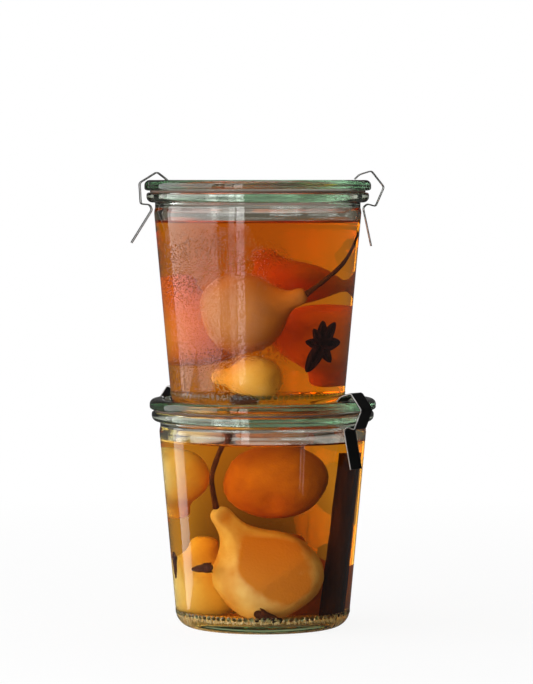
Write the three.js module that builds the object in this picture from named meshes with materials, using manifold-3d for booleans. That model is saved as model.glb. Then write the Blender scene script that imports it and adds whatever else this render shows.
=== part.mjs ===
// Two glass preserving jars of pears in syrup, stacked one on the other.
// Each jar is a tapered glass body with a bead round its rim, a rubber seal, a glass lid with a
// recess for the next jar's foot, and two spring clips that hook under the bead.
// Millimetres, +Z up. The origin is on the standing plane, midway between the two jars' axes.

import * as THREE from "three";
import { mergeVertices } from "three/addons/utils/BufferGeometryUtils.js";
import Module from "manifold-3d";

const wasm = await Module();
wasm.setup();

// Driving dimensions of the jar glass. The bead's radius sets the other radii, and the rim's height
// above the standing plane sets the other heights.
const BEAD_RADIUS = 53.5;
const BEAD_OVERHANG = 4.1;
const BEAD_DEPTH = 4.8;
const BEAD_UNDER_ROUND = 2.8;
const RIM_HEIGHT = 104;
const RIM_ROUND = 1.2;
const MOUTH_EASE = 0.6;
const NECK_HEIGHT = 10;
const NECK_GROOVE = 0.4;
const NECK_RUN = 2.5;
const WALL = 3.5;
const FLOOR_HEIGHT = 5;
const INNER_CORNER = 6;
const BASE_CORNER = 8;
const STANDING_WIDTH = 3;
const PUNT_RISE = 1.2;
const PUNT_SLOPE_WIDTH = 3;

// Driving dimensions of the seal and the lid
const SEAL_THICKNESS = 0.9;
const SEAL_SETBACK = 0.5;
const LID_OVERHANG = 1;
const LID_RIM_WIDTH = 7.2;
const LID_RIM_HEIGHT = 5.1;
const LID_ROUND = 2.6;
const LID_BEVEL_WIDTH = 2.1;
const LID_BEVEL_HEIGHT = 1.4;
const RECESS_DEPTH = 4.9;
const RECESS_LIP_ROUND = 1.4;
const RECESS_SWEEP = 5.1;
const RECESS_EASE = 0.9;
const PLATE_THICKNESS = 4;
const PLUG_CLEARANCE = 0.9;
const PLUG_ROUND = 1.5;
const PLUG_FILLET = 1.2;

// How the upper jar stands in the lower lid's recess: the room round its foot, and how far off centre it is
const FOOT_CLEARANCE = 5.3;
const STACK_OFFSET = 2.4;

// Driving dimensions of the clip strip. Its corners are given in the closed pose: the upper ones
// from the lid's edges and top, the lower ones from the bead's side and underside.
const CLIP_THICKNESS = 0.7;
const CLIP_WIDTH = 9.5;
const CLIP_NOSE_IN = 4.9;
const CLIP_NOSE_DROP = 2.7;
const CLIP_BEND_IN = 3.6;
const CLIP_BEND_RISE = 0.1;
const CLIP_APEX_OUT = 1.25;
const CLIP_APEX_RISE = 3.8;
const CLIP_OUTER_OUT = 2.4;
const CLIP_OUTER_DROP = 1.4;
const CLIP_LOWER_OUT = 1.8;
const CLIP_LOWER_DROP = 0.7;
const CLIP_CREST_IN = 1.4;
const CLIP_CREST_DROP = 1.0;
const CLIP_NECK_IN = 2.6;
const CLIP_NECK_DROP = 3.4;
const CLIP_TAIL_OUT = 7.3;
const CLIP_TAIL_DROP = 19.3;
const CLIP_TIP_ANGLE = 20;
const CLIP_TIP_SHIFT_OUT = 0.5;
const CLIP_TIP_SHIFT_UP = 0.3;

// Driving dimensions of the contents. A pear's size is a share of the middling pear's belly radius.
const SYRUP_BELOW_SHOULDER = 4;
const CONTENT_GAP = 0.3;
const SYRUP_GAP = 0.4;
const PEAR_RADIUS = 15;
const PEAR_PRESS = 0.7;
const PEAR_FOOT_SHARE = 0.92;
const PEAR_FOOT_FULLNESS = 0.75;
const PEAR_FOOT_DIP = 1.05;
const PEAR_FLANK = 0.55;
const PEAR_WAIST = 0.45;
const PEAR_CROWN = 0.85;
const STEM_RADIUS = 1.3;
const LOWER_STEM_LENGTH = 34;
const STEM_LOW_INSET = 4.6;
const STEM_MIDDLE_INSET = 2.6;
const STEM_TOP_INSET = 1.8;
const CINNAMON_RADIUS = 5.5;
const CINNAMON_LENGTH = 80;
const CINNAMON_BARK = 1.2;
const CINNAMON_ROLL_GAP = 0.5;
const CINNAMON_TURNS = 1.3;
const CINNAMON_INSET = 14.4;
const CINNAMON_AZIMUTH = 6;
const STAR_RADIUS = 14;
const STAR_VALLEY_RADIUS = 4.6;
const STAR_PETALS = 8;
const STAR_PETAL_HALF_ANGLE = 16;
const STAR_PETAL_SHOULDER = 9;
const STAR_THICKNESS = 4;
const CLOVE_LENGTH = 13;
const CLOVE_TIP_RADIUS = 0.8;
const CLOVE_STEM_RADIUS = 1.4;
const CLOVE_CUP_RADIUS = 2.5;
const CLOVE_CUP_LENGTH = 2.6;
const CLOVE_BUD_LENGTH = 1.8;
const CLOVE_REST = 1.5;
const CLOVE_FLOOR_INSET = 4.2;
const CLOVE_WALL_INSET = 2;

// Counts that set how finely the round pieces are faceted
const GLASS_SIDES = 32;
const GLASS_ARC_STEPS = 2;
const PEAR_SIDES = 12;
const PEAR_STEPS = 3;
const CLOVE_SIDES = 8;
const STEM_SIDES = 4;
const STEM_STEPS = 7;
const ROLL_SIDES = 12;

// Finishes of the pieces
const FINISH = {
  glass: { color: 0xcfe0d2, roughness: 0.04, metalness: 0, transparent: true, opacity: 0.35 },
  rubber: { color: 0x2b1d16, roughness: 0.6, metalness: 0 },
  steel: { color: 0x3a3a3a, roughness: 0.3, metalness: 1 },
  pear: { color: 0xe8b45c, roughness: 0.45, metalness: 0 },
  stem: { color: 0x2c1410, roughness: 0.7, metalness: 0 },
  spice: { color: 0x32140d, roughness: 0.75, metalness: 0 },
  syrup: { color: 0xc86a10, roughness: 0.02, metalness: 0, transparent: true, opacity: 0.5 },
};

// Places worked out from the driving dimensions
const radians = THREE.MathUtils.degToRad;
const beadBottom = RIM_HEIGHT - BEAD_DEPTH;
const shoulderHeight = RIM_HEIGHT - NECK_HEIGHT;
const neckRadius = BEAD_RADIUS - BEAD_OVERHANG;
const shoulderRadius = neckRadius + NECK_GROOVE;
const lidRadius = BEAD_RADIUS + LID_OVERHANG;
const recessRadius = lidRadius - LID_RIM_WIDTH;
const standingRadius = recessRadius - FOOT_CLEARANCE - BASE_CORNER;
const cornerToShoulder = new THREE.Vector2(
  shoulderRadius - standingRadius,
  shoulderHeight - BASE_CORNER,
);
const wallTilt =
  Math.atan2(cornerToShoulder.x, cornerToShoulder.y) -
  Math.asin(BASE_CORNER / cornerToShoulder.length());
const lidSeat = RIM_HEIGHT + SEAL_THICKNESS;
const lidTop = lidSeat + LID_RIM_HEIGHT;
const recessFloor = lidTop - RECESS_DEPTH;
const plugBottom = recessFloor - PLATE_THICKNESS;
const mouthRadius = innerRadius(shoulderHeight);
const plugRadius = mouthRadius - PLUG_CLEARANCE;
const syrupLevel = shoulderHeight - SYRUP_BELOW_SHOULDER;
const syrupDepth = syrupLevel - FLOOR_HEIGHT;

function outerRadius(height) {
  return shoulderRadius - (shoulderHeight - height) * Math.tan(wallTilt);
}

function innerRadius(height) {
  return outerRadius(height) - WALL / Math.cos(wallTilt);
}

function polarPlace(azimuth, radius, height) {
  const angle = radians(azimuth);
  return new THREE.Vector3(radius * Math.cos(angle), radius * Math.sin(angle), height);
}

// The height of a share of the syrup's depth
function depthShare(share) {
  return FLOOR_HEIGHT + share * syrupDepth;
}

// A place inside the jar: an azimuth, a height and a distance in from the glass wall
function byWall(azimuth, height, inset) {
  return polarPlace(azimuth, innerRadius(height) - inset / Math.cos(wallTilt), height);
}

// Merge shared vertices and drop the triangles that collapse on the axis of a turned piece
function weld(geometry) {
  geometry.deleteAttribute("normal");
  geometry.deleteAttribute("uv");
  const welded = mergeVertices(geometry, 1e-4);
  const corners = welded.index.array;
  const kept = [];
  for (let i = 0; i < corners.length; i += 3) {
    const [a, b, c] = [corners[i], corners[i + 1], corners[i + 2]];
    if (a !== b && b !== c && c !== a) {
      kept.push(a, b, c);
    }
  }
  welded.setIndex(kept);
  return welded;
}

// Turn a profile in (radius, height) about the Z axis
function turned(profile, sides, steps) {
  const geometry = new THREE.LatheGeometry(profile.getPoints(steps), sides);
  geometry.rotateX(Math.PI / 2);
  return weld(geometry);
}

function toSolid(geometry) {
  const vertProperties = new Float32Array(geometry.attributes.position.array);
  const triVerts = new Uint32Array(geometry.index.array);
  return new wasm.Manifold(new wasm.Mesh({ numProp: 3, vertProperties, triVerts }));
}

function toGeometry(solid) {
  const mesh = solid.getMesh();
  const geometry = new THREE.BufferGeometry();
  geometry.setAttribute("position", new THREE.BufferAttribute(mesh.vertProperties, 3));
  geometry.setIndex(new THREE.BufferAttribute(mesh.triVerts, 1));
  return geometry;
}

function piece(name, geometry, finish) {
  const mesh = new THREE.Mesh(geometry, new THREE.MeshStandardMaterial(finish));
  mesh.name = name;
  return mesh;
}

// The jar body: a punted foot, a tapered wall, a neck, and a bead under a flat sealing rim
function jarGlass() {
  const puntRadius = standingRadius - STANDING_WIDTH - PUNT_SLOPE_WIDTH;
  const beadCentre = [BEAD_RADIUS - BEAD_UNDER_ROUND, beadBottom + BEAD_UNDER_ROUND];
  const beadStart = -Math.PI / 2 - Math.asin((beadCentre[0] - neckRadius) / BEAD_UNDER_ROUND);
  const profile = new THREE.Path();
  profile.moveTo(0, PUNT_RISE);
  profile.lineTo(puntRadius, PUNT_RISE);
  profile.lineTo(standingRadius - STANDING_WIDTH, 0);
  profile.lineTo(standingRadius, 0);
  profile.absarc(standingRadius, BASE_CORNER, BASE_CORNER, -Math.PI / 2, -wallTilt, false);
  profile.lineTo(shoulderRadius, shoulderHeight);
  profile.lineTo(neckRadius, shoulderHeight + NECK_RUN);
  profile.absarc(beadCentre[0], beadCentre[1], BEAD_UNDER_ROUND, beadStart, 0, false);
  const rimCentre = [BEAD_RADIUS - RIM_ROUND, RIM_HEIGHT - RIM_ROUND];
  profile.absarc(rimCentre[0], rimCentre[1], RIM_ROUND, 0, Math.PI / 2, false);
  profile.lineTo(mouthRadius + MOUTH_EASE, RIM_HEIGHT);
  profile.lineTo(mouthRadius, RIM_HEIGHT - MOUTH_EASE);
  addInteriorWall(profile, mouthRadius, shoulderHeight, 0);
  return turned(profile, GLASS_SIDES, GLASS_ARC_STEPS);
}

// The inside of the glass, from a height on the wall down to the axis, drawn in by a gap
function addInteriorWall(profile, radius, height, gap) {
  const corner = INNER_CORNER - gap;
  const centreHeight = FLOOR_HEIGHT + INNER_CORNER;
  const centreRadius = innerRadius(centreHeight) - INNER_CORNER / Math.cos(wallTilt);
  profile.lineTo(radius - gap, height);
  profile.absarc(centreRadius, centreHeight, corner, -wallTilt, -Math.PI / 2, true);
  profile.lineTo(0, FLOOR_HEIGHT + gap);
}

// The room inside the glass up to a height, drawn in from the glass by the contents' gap
function room(height) {
  const wallTop = Math.min(height, shoulderHeight);
  const inside = new THREE.Path();
  inside.moveTo(0, height);
  inside.lineTo(innerRadius(wallTop) - CONTENT_GAP, height);
  addInteriorWall(inside, innerRadius(wallTop), wallTop, CONTENT_GAP);
  const upward = new THREE.Path(inside.getPoints(GLASS_ARC_STEPS).reverse());
  return toSolid(turned(upward, GLASS_SIDES, 1));
}

// The flat rubber ring between the rim and the lid
function sealRing() {
  const inner = mouthRadius + MOUTH_EASE;
  const outer = BEAD_RADIUS - RIM_ROUND - SEAL_SETBACK;
  const profile = new THREE.Path();
  profile.moveTo(inner, RIM_HEIGHT);
  profile.lineTo(outer, RIM_HEIGHT);
  profile.lineTo(outer, lidSeat);
  profile.lineTo(inner, lidSeat);
  profile.lineTo(inner, RIM_HEIGHT);
  return turned(profile, GLASS_SIDES, 1);
}

// The lid: a plug that drops into the mouth, a flange on the seal and a raised rim round the recess
function lidGlass() {
  const profile = new THREE.Path();
  profile.moveTo(0, plugBottom);
  profile.lineTo(plugRadius - PLUG_ROUND, plugBottom);
  profile.absarc(plugRadius - PLUG_ROUND, plugBottom + PLUG_ROUND, PLUG_ROUND, -Math.PI / 2, 0, false);
  profile.lineTo(plugRadius, lidSeat - PLUG_FILLET);
  profile.lineTo(plugRadius + PLUG_FILLET, lidSeat);
  profile.lineTo(lidRadius - LID_BEVEL_WIDTH, lidSeat);
  profile.lineTo(lidRadius, lidSeat + LID_BEVEL_HEIGHT);
  profile.absarc(lidRadius - LID_ROUND, lidTop - LID_ROUND, LID_ROUND, 0, Math.PI / 2, false);
  const lipCentre = [recessRadius + RECESS_LIP_ROUND, lidTop - RECESS_LIP_ROUND];
  profile.absarc(lipCentre[0], lipCentre[1], RECESS_LIP_ROUND, Math.PI / 2, Math.PI, false);
  profile.quadraticCurveTo(
    recessRadius - RECESS_EASE,
    recessFloor + RECESS_EASE,
    recessRadius - RECESS_SWEEP,
    recessFloor,
  );
  profile.lineTo(0, recessFloor);
  return turned(profile, GLASS_SIDES, GLASS_ARC_STEPS);
}

// The corners of the bent clip strip, nose first, in (radius, height) about the hook's crest
function clipCorners() {
  const corners = [
    [recessRadius - CLIP_NOSE_IN, lidTop - CLIP_NOSE_DROP],
    [recessRadius - CLIP_BEND_IN, lidTop + CLIP_BEND_RISE],
    [recessRadius + CLIP_APEX_OUT, lidTop + CLIP_APEX_RISE],
    [lidRadius + CLIP_OUTER_OUT, lidTop - CLIP_OUTER_DROP],
    [lidRadius + CLIP_LOWER_OUT, beadBottom - CLIP_LOWER_DROP],
    [BEAD_RADIUS - CLIP_CREST_IN, beadBottom - CLIP_CREST_DROP],
    [BEAD_RADIUS - CLIP_NECK_IN, beadBottom - CLIP_NECK_DROP],
    [BEAD_RADIUS + CLIP_TAIL_OUT, beadBottom - CLIP_TAIL_DROP],
  ];
  const crest = new THREE.Vector2(...corners[5]);
  return { crest, points: corners.map(([r, z]) => new THREE.Vector2(r, z).sub(crest)) };
}

// One side of a bent strip: its centre line moved sideways, with mitred corners
function stripSide(points, offset) {
  return points.map((point, i) => {
    const before = i > 0 ? point.clone().sub(points[i - 1]).normalize() : null;
    const after = i < points.length - 1 ? points[i + 1].clone().sub(point).normalize() : null;
    const along = (before ?? after).clone().add(after ?? before).normalize();
    const across = new THREE.Vector2(-along.y, along.x);
    const straight = before ?? after;
    const square = new THREE.Vector2(-straight.y, straight.x);
    return point.clone().addScaledVector(across, offset / across.dot(square));
  });
}

// One clip at an azimuth, hooked under the bead: closed on the lid, or tipped outward about its hook
function clip(name, azimuth, tipped) {
  const { crest, points } = clipCorners();
  const inside = stripSide(points, CLIP_THICKNESS / 2);
  const outside = stripSide(points, -CLIP_THICKNESS / 2);
  const outline = new THREE.Shape([...outside, ...inside.reverse()]);
  const strip = new THREE.ExtrudeGeometry(outline, { depth: CLIP_WIDTH, bevelEnabled: false });
  strip.translate(0, 0, -CLIP_WIDTH / 2);
  strip.rotateX(Math.PI / 2);
  const mesh = piece(name, weld(strip), FINISH.steel);
  mesh.position.set(crest.x, 0, crest.y);
  if (tipped) {
    mesh.position.x += CLIP_TIP_SHIFT_OUT;
    mesh.position.z += CLIP_TIP_SHIFT_UP;
    mesh.rotation.y = radians(CLIP_TIP_ANGLE);
  }
  const place = new THREE.Group();
  place.rotation.z = radians(azimuth);
  place.add(mesh);
  return place;
}

// A pear of a size, with its reach from belly to tip and its neck as shares of its belly radius
function pear(name, size, reachShare, neckShare, axis, place) {
  const radius = size * PEAR_RADIUS;
  const lean = new THREE.Vector3(...axis).normalize();
  return { name, radius, reach: reachShare * radius, neck: neckShare * radius, lean, place };
}

// A pear's body about the centre of its belly, swollen by a gap
function pearBody(fruit, gap) {
  const belly = fruit.radius + gap;
  const foot = fruit.radius * PEAR_FOOT_SHARE + gap;
  const neck = fruit.neck + gap;
  const reach = fruit.reach + gap;
  const profile = new THREE.Path();
  profile.moveTo(0, -foot);
  profile.bezierCurveTo(
    belly * PEAR_FOOT_FULLNESS,
    -foot * PEAR_FOOT_DIP,
    belly,
    -foot * PEAR_FLANK,
    belly,
    0,
  );
  profile.bezierCurveTo(
    belly,
    reach * PEAR_WAIST,
    neck,
    reach * PEAR_WAIST,
    neck,
    reach * PEAR_CROWN,
  );
  profile.quadraticCurveTo(neck, reach, 0, reach);
  const geometry = turned(profile, PEAR_SIDES, PEAR_STEPS);
  const upright = new THREE.Vector3(0, 0, 1);
  geometry.applyQuaternion(new THREE.Quaternion().setFromUnitVectors(upright, fruit.lean));
  return geometry;
}

// Places for a pear's belly centre: on the floor, pressed to the wall, or just under the syrup's surface
function onFloor(azimuth, radiusShare) {
  return (fruit) => {
    const body = pearBody(fruit, 0);
    body.computeBoundingBox();
    const height = FLOOR_HEIGHT + CONTENT_GAP - body.boundingBox.min.z;
    return polarPlace(azimuth, radiusShare * innerRadius(FLOOR_HEIGHT), height);
  };
}

function onWall(azimuth, heightShare) {
  return (fruit) => byWall(azimuth, depthShare(heightShare), fruit.radius - PEAR_PRESS);
}

function afloat(azimuth, radiusShare, sunkShare) {
  return (fruit) =>
    polarPlace(azimuth, radiusShare * mouthRadius, syrupLevel - sunkShare * fruit.radius);
}

function pearShape(fruit) {
  const centre = fruit.place(fruit);
  const shape = (gap) => pearBody(fruit, gap).translate(centre.x, centre.y, centre.z);
  return { name: fruit.name, finish: FINISH.pear, shape };
}

// Points of a stem that stands free, given from its root as shares of its length
function freeRoute(length, offsets) {
  return (root) => offsets.map((offset) => new THREE.Vector3(...offset).multiplyScalar(length).add(root));
}

// A pear's stem from the tip of its neck, along a route that starts there
function stemShape(name, fruit, route) {
  const root = fruit.place(fruit).addScaledVector(fruit.lean, fruit.reach + CONTENT_GAP);
  const path = new THREE.CatmullRomCurve3([root, ...route(root)]);
  const shape = (gap) => {
    const section = new THREE.Shape().absarc(0, 0, STEM_RADIUS + gap, 0, Math.PI * 2);
    const options = { steps: STEM_STEPS, curveSegments: STEM_SIDES, extrudePath: path };
    return weld(new THREE.ExtrudeGeometry(section, options));
  };
  return { name, finish: FINISH.stem, shape };
}

// A clove from its tip along a direction to its bud
function cloveShape(name, tip, direction) {
  const cupBase = CLOVE_LENGTH - CLOVE_BUD_LENGTH - CLOVE_CUP_LENGTH;
  const lean = new THREE.Quaternion().setFromUnitVectors(
    new THREE.Vector3(0, 0, 1),
    new THREE.Vector3(...direction).normalize(),
  );
  const shape = (gap) => {
    const profile = new THREE.Path();
    profile.moveTo(0, -gap);
    profile.lineTo(CLOVE_TIP_RADIUS + gap, -gap);
    profile.lineTo(CLOVE_STEM_RADIUS + gap, cupBase);
    profile.lineTo(CLOVE_CUP_RADIUS + gap, cupBase + CLOVE_CUP_LENGTH);
    profile.lineTo(CLOVE_STEM_RADIUS + gap, CLOVE_LENGTH + gap);
    profile.lineTo(0, CLOVE_LENGTH + gap);
    const geometry = turned(profile, CLOVE_SIDES, 1);
    geometry.applyQuaternion(lean);
    return geometry.translate(tip.x, tip.y, tip.z);
  };
  return { name, finish: FINISH.spice, shape };
}

// A rolled quill of cinnamon bark standing on the floor, parallel to the wall
function cinnamonShape(name) {
  const turnDrop = CINNAMON_BARK + CINNAMON_ROLL_GAP;
  const spiral = (inset, i) => {
    const turns = i / ROLL_SIDES;
    const radius = CINNAMON_RADIUS - turnDrop * turns - inset;
    const angle = turns * Math.PI * 2;
    return new THREE.Vector2(Math.cos(angle), Math.sin(angle)).multiplyScalar(radius);
  };
  const steps = Math.round(CINNAMON_TURNS * ROLL_SIDES);
  const outer = Array.from({ length: steps + 1 }, (_, i) => spiral(0, i));
  const inner = Array.from({ length: steps + 1 }, (_, i) => spiral(CINNAMON_BARK, i));
  const foot = FLOOR_HEIGHT + CONTENT_GAP;
  const shape = (gap) => {
    const round = new THREE.Shape().absarc(0, 0, CINNAMON_RADIUS + gap, 0, Math.PI * 2);
    const outline = gap > 0 ? round : new THREE.Shape([...outer, ...inner.reverse()]);
    const options = { depth: CINNAMON_LENGTH + 2 * gap, bevelEnabled: false, curveSegments: ROLL_SIDES };
    const quill = weld(new THREE.ExtrudeGeometry(outline, options));
    quill.translate(0, 0, -gap);
    quill.rotateY(wallTilt);
    quill.translate(innerRadius(foot) - CINNAMON_INSET, 0, foot);
    return quill.rotateZ(radians(CINNAMON_AZIMUTH));
  };
  return { name, finish: FINISH.spice, shape };
}

// A star of boat-shaped pods that lies flat against the wall
function starShape(name, azimuth, height) {
  const polar = (radius, degrees) =>
    new THREE.Vector2(Math.cos(radians(degrees)), Math.sin(radians(degrees))).multiplyScalar(radius);
  const pitch = 360 / STAR_PETALS;
  const shape = (gap) => {
    const outline = new THREE.Shape();
    outline.moveTo(...polar(STAR_VALLEY_RADIUS + gap, -pitch / 2));
    for (let i = 0; i < STAR_PETALS; i += 1) {
      const middle = i * pitch;
      const tip = polar(STAR_RADIUS + gap, middle);
      const valley = polar(STAR_VALLEY_RADIUS + gap, middle + pitch / 2);
      const nearSide = polar(STAR_PETAL_SHOULDER + gap, middle - STAR_PETAL_HALF_ANGLE);
      const farSide = polar(STAR_PETAL_SHOULDER + gap, middle + STAR_PETAL_HALF_ANGLE);
      outline.quadraticCurveTo(...nearSide, ...tip);
      outline.quadraticCurveTo(...farSide, ...valley);
    }
    const options = { depth: STAR_THICKNESS + 2 * gap, bevelEnabled: false, curveSegments: 2 };
    const star = weld(new THREE.ExtrudeGeometry(outline, options));
    star.translate(0, 0, -gap);
    star.rotateY(Math.PI / 2 + wallTilt);
    const wallAtTips = Math.sqrt(innerRadius(height) ** 2 - STAR_RADIUS ** 2);
    star.translate(wallAtTips - STAR_THICKNESS, 0, height);
    return star.rotateZ(radians(azimuth));
  };
  return { name, finish: FINISH.spice, shape };
}

// Soft contents give way to the glass and to the pieces packed before them, and syrup fills the rest
function packed(shapes, syrupName) {
  const inside = room(plugBottom - CONTENT_GAP);
  let syrup = room(syrupLevel);
  let taken = null;
  const pieces = shapes.map(({ name, finish, shape }) => {
    let solid = toSolid(shape(0)).intersect(inside);
    if (taken) {
      solid = solid.subtract(taken);
    }
    const swollen = toSolid(shape(SYRUP_GAP));
    taken = taken ? taken.add(swollen) : swollen;
    syrup = syrup.subtract(swollen);
    return piece(name, toGeometry(solid), finish);
  });
  return [...pieces, piece(syrupName, toGeometry(syrup), FINISH.syrup)];
}

// A closed jar: its glass, seal, lid and clips
function closedJar(prefix, clips) {
  const jar = new THREE.Group();
  jar.add(piece(`${prefix}_jar`, jarGlass(), FINISH.glass));
  jar.add(piece(`${prefix}_seal`, sealRing(), FINISH.rubber));
  jar.add(piece(`${prefix}_lid`, lidGlass(), FINISH.glass));
  for (const [side, azimuth, tipped] of clips) {
    jar.add(clip(`${prefix}_clip_${side}`, azimuth, tipped));
  }
  return jar;
}

// The lower jar's contents
const lowerFront = pear("lower_pear_front", 1.47, 1.77, 0.23, [-21.5, -6, 32.7], onFloor(-82.6, 0.41));
const lowerContents = packed(
  [
    pearShape(lowerFront),
    pearShape(pear("lower_pear_top", 1.2, 1.72, 0.25, [0.1, 0.81, 0.57], afloat(6.3, 0.1, 0.97))),
    pearShape(pear("lower_pear_back", 0.97, 1.86, 0.29, [-0.1, 0, 1], onFloor(65.6, 0.634))),
    pearShape(pear("lower_pear_base", 0.97, 1.79, 0.29, [0.15, 0.1, 1], onFloor(147.6, 0.637))),
    pearShape(pear("lower_pear_left", 0.9, 1.78, 0.3, [0.25, 0.45, -0.85], onWall(162, 0.812))),
    stemShape(
      "lower_pear_front_stem",
      lowerFront,
      freeRoute(LOWER_STEM_LENGTH, [
        [-0.07, -0.12, 0.41],
        [-0.006, -0.176, 0.706],
        [0.097, -0.206, 0.97],
      ]),
    ),
    cinnamonShape("lower_cinnamon"),
    cloveShape(
      "lower_clove_front",
      byWall(-75.8, FLOOR_HEIGHT + CLOVE_REST, CLOVE_FLOOR_INSET),
      [-0.95, 0, 0.31],
    ),
    cloveShape("lower_clove_left", byWall(-145.3, depthShare(0.294), CLOVE_WALL_INSET), [0.69, -0.7, 0.16]),
    cloveShape("lower_clove_edge", byWall(-170.9, depthShare(0.224), CLOVE_WALL_INSET), [-0.09, 0, 1]),
  ],
  "lower_syrup",
);

// The upper jar's contents
const upperStemmed = pear("upper_pear_stemmed", 1.3, 1.49, 0.215, [25.5, -8.3, 8], onWall(-103, 0.506));
const upperContents = packed(
  [
    pearShape(upperStemmed),
    pearShape(pear("upper_pear_left", 1.13, 1.7, 0.265, [-0.1, 0.2, 0.97], onWall(141, 0.388))),
    pearShape(pear("upper_pear_right", 1.07, 1.62, 0.26, [-0.1, 0.35, -0.93], onWall(38.6, 0.365))),
    pearShape(pear("upper_pear_bottom", 0.73, 1.73, 0.33, [-0.85, 0.45, 0.05], onFloor(-92.8, 0.539))),
    pearShape(pear("upper_pear_back", 0.73, 1.73, 0.33, [-0.4, -0.3, 0.85], onWall(76, 0.671))),
    stemShape("upper_pear_stem", upperStemmed, () => [
      byWall(-40, depthShare(0.686), STEM_LOW_INSET),
      byWall(-22.9, depthShare(0.788), STEM_MIDDLE_INSET),
      byWall(-4, depthShare(0.94), STEM_TOP_INSET),
    ]),
    starShape("upper_star_anise", -40.7, depthShare(0.318)),
    cloveShape(
      "upper_clove",
      byWall(-89.1, FLOOR_HEIGHT + CLOVE_REST, CLOVE_FLOOR_INSET),
      [-1, 0.05, 0.02],
    ),
  ],
  "upper_syrup",
);

// The stack: each jar about its own axis, half the offset to either side of the origin
const lowerJar = closedJar("lower", [
  ["front", -36, true],
  ["back", 144, true],
]);
lowerJar.add(...lowerContents);
lowerJar.position.x = STACK_OFFSET / 2;

const upperJar = closedJar("upper", [
  ["right", 0, true],
  ["left", 185, false],
]);
upperJar.add(...upperContents);
upperJar.position.set(-STACK_OFFSET / 2, 0, recessFloor);

const stack = new THREE.Group();
stack.add(lowerJar, upperJar);

export default stack;
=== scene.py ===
"""Dresses a stack of two glass preserving jars: glass, seals, clips, poached pears, spices and syrup."""

import math
from typing import NamedTuple

import bpy
from bpy.props import FloatProperty, FloatVectorProperty, IntProperty, PointerProperty
from bpy.types import Operator, Panel, PropertyGroup
from mathutils import Matrix, Vector, noise


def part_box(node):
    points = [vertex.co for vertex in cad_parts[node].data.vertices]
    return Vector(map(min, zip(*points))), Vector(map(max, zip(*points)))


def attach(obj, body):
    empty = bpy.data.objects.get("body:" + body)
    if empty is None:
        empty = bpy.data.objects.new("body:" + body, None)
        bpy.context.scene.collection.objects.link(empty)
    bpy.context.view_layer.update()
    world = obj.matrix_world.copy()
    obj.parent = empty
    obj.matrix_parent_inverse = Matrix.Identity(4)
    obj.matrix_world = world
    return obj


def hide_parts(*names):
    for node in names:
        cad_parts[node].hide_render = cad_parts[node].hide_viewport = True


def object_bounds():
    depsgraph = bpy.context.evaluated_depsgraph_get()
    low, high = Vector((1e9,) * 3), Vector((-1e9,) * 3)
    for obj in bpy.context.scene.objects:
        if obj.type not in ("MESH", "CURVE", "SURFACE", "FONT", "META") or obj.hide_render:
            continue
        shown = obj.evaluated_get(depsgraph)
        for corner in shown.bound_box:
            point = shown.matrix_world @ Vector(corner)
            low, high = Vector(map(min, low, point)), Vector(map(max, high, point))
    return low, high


bl_info = {
    "name": "Preserving Jar Stack",
    "version": (1, 0, 0),
    "blender": (4, 5, 0),
    "location": "View3D > Sidebar > Jars",
    "description": "Fine glass, clips, fruit and syrup for a stack of two preserving jars",
    "category": "Object",
}

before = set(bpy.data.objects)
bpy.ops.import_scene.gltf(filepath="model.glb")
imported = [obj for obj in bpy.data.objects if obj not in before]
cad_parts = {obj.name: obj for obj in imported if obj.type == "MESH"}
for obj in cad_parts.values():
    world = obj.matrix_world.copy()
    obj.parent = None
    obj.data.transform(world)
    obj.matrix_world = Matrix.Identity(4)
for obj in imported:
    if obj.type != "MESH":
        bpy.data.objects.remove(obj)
CAD_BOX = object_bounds()
MM = 0.001
JARS = ("lower", "upper")
UP = Vector((0, 0, 1))
HAIR = 0.02 * MM
AXIS = 1e-7
WHITE = (1, 1, 1, 1)
GLASS_SHADE = (0.93, 0.96, 0.94)


# Places that come from the frame


def box_size(node):
    low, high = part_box(node)
    return high - low


def jar_base(jar):
    """The middle of a jar's standing ring."""
    low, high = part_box(f"{jar}_jar")
    return Vector(((low.x + high.x) / 2, (low.y + high.y) / 2, low.z))


# Property helpers


def length(name, description, millimetres):
    return FloatProperty(
        name=name, description=description, default=millimetres * MM, min=0.0, precision=5, unit="LENGTH"
    )


def share(name, description, value):
    return FloatProperty(
        name=name, description=description, default=value, min=0.0, max=1.0, subtype="FACTOR"
    )


def number(name, description, value):
    return FloatProperty(name=name, description=description, default=value, min=0.0)


def count(name, description, value):
    return IntProperty(name=name, description=description, default=value, min=1)


def degrees(name, description, value):
    return FloatProperty(name=name, description=description, default=math.radians(value), subtype="ANGLE")


def tint(name, description, colour):
    return FloatVectorProperty(
        name=name, description=description, default=colour, min=0.0, max=1.0, size=3, subtype="COLOR"
    )


# Sizes and colours that a user would change


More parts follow.
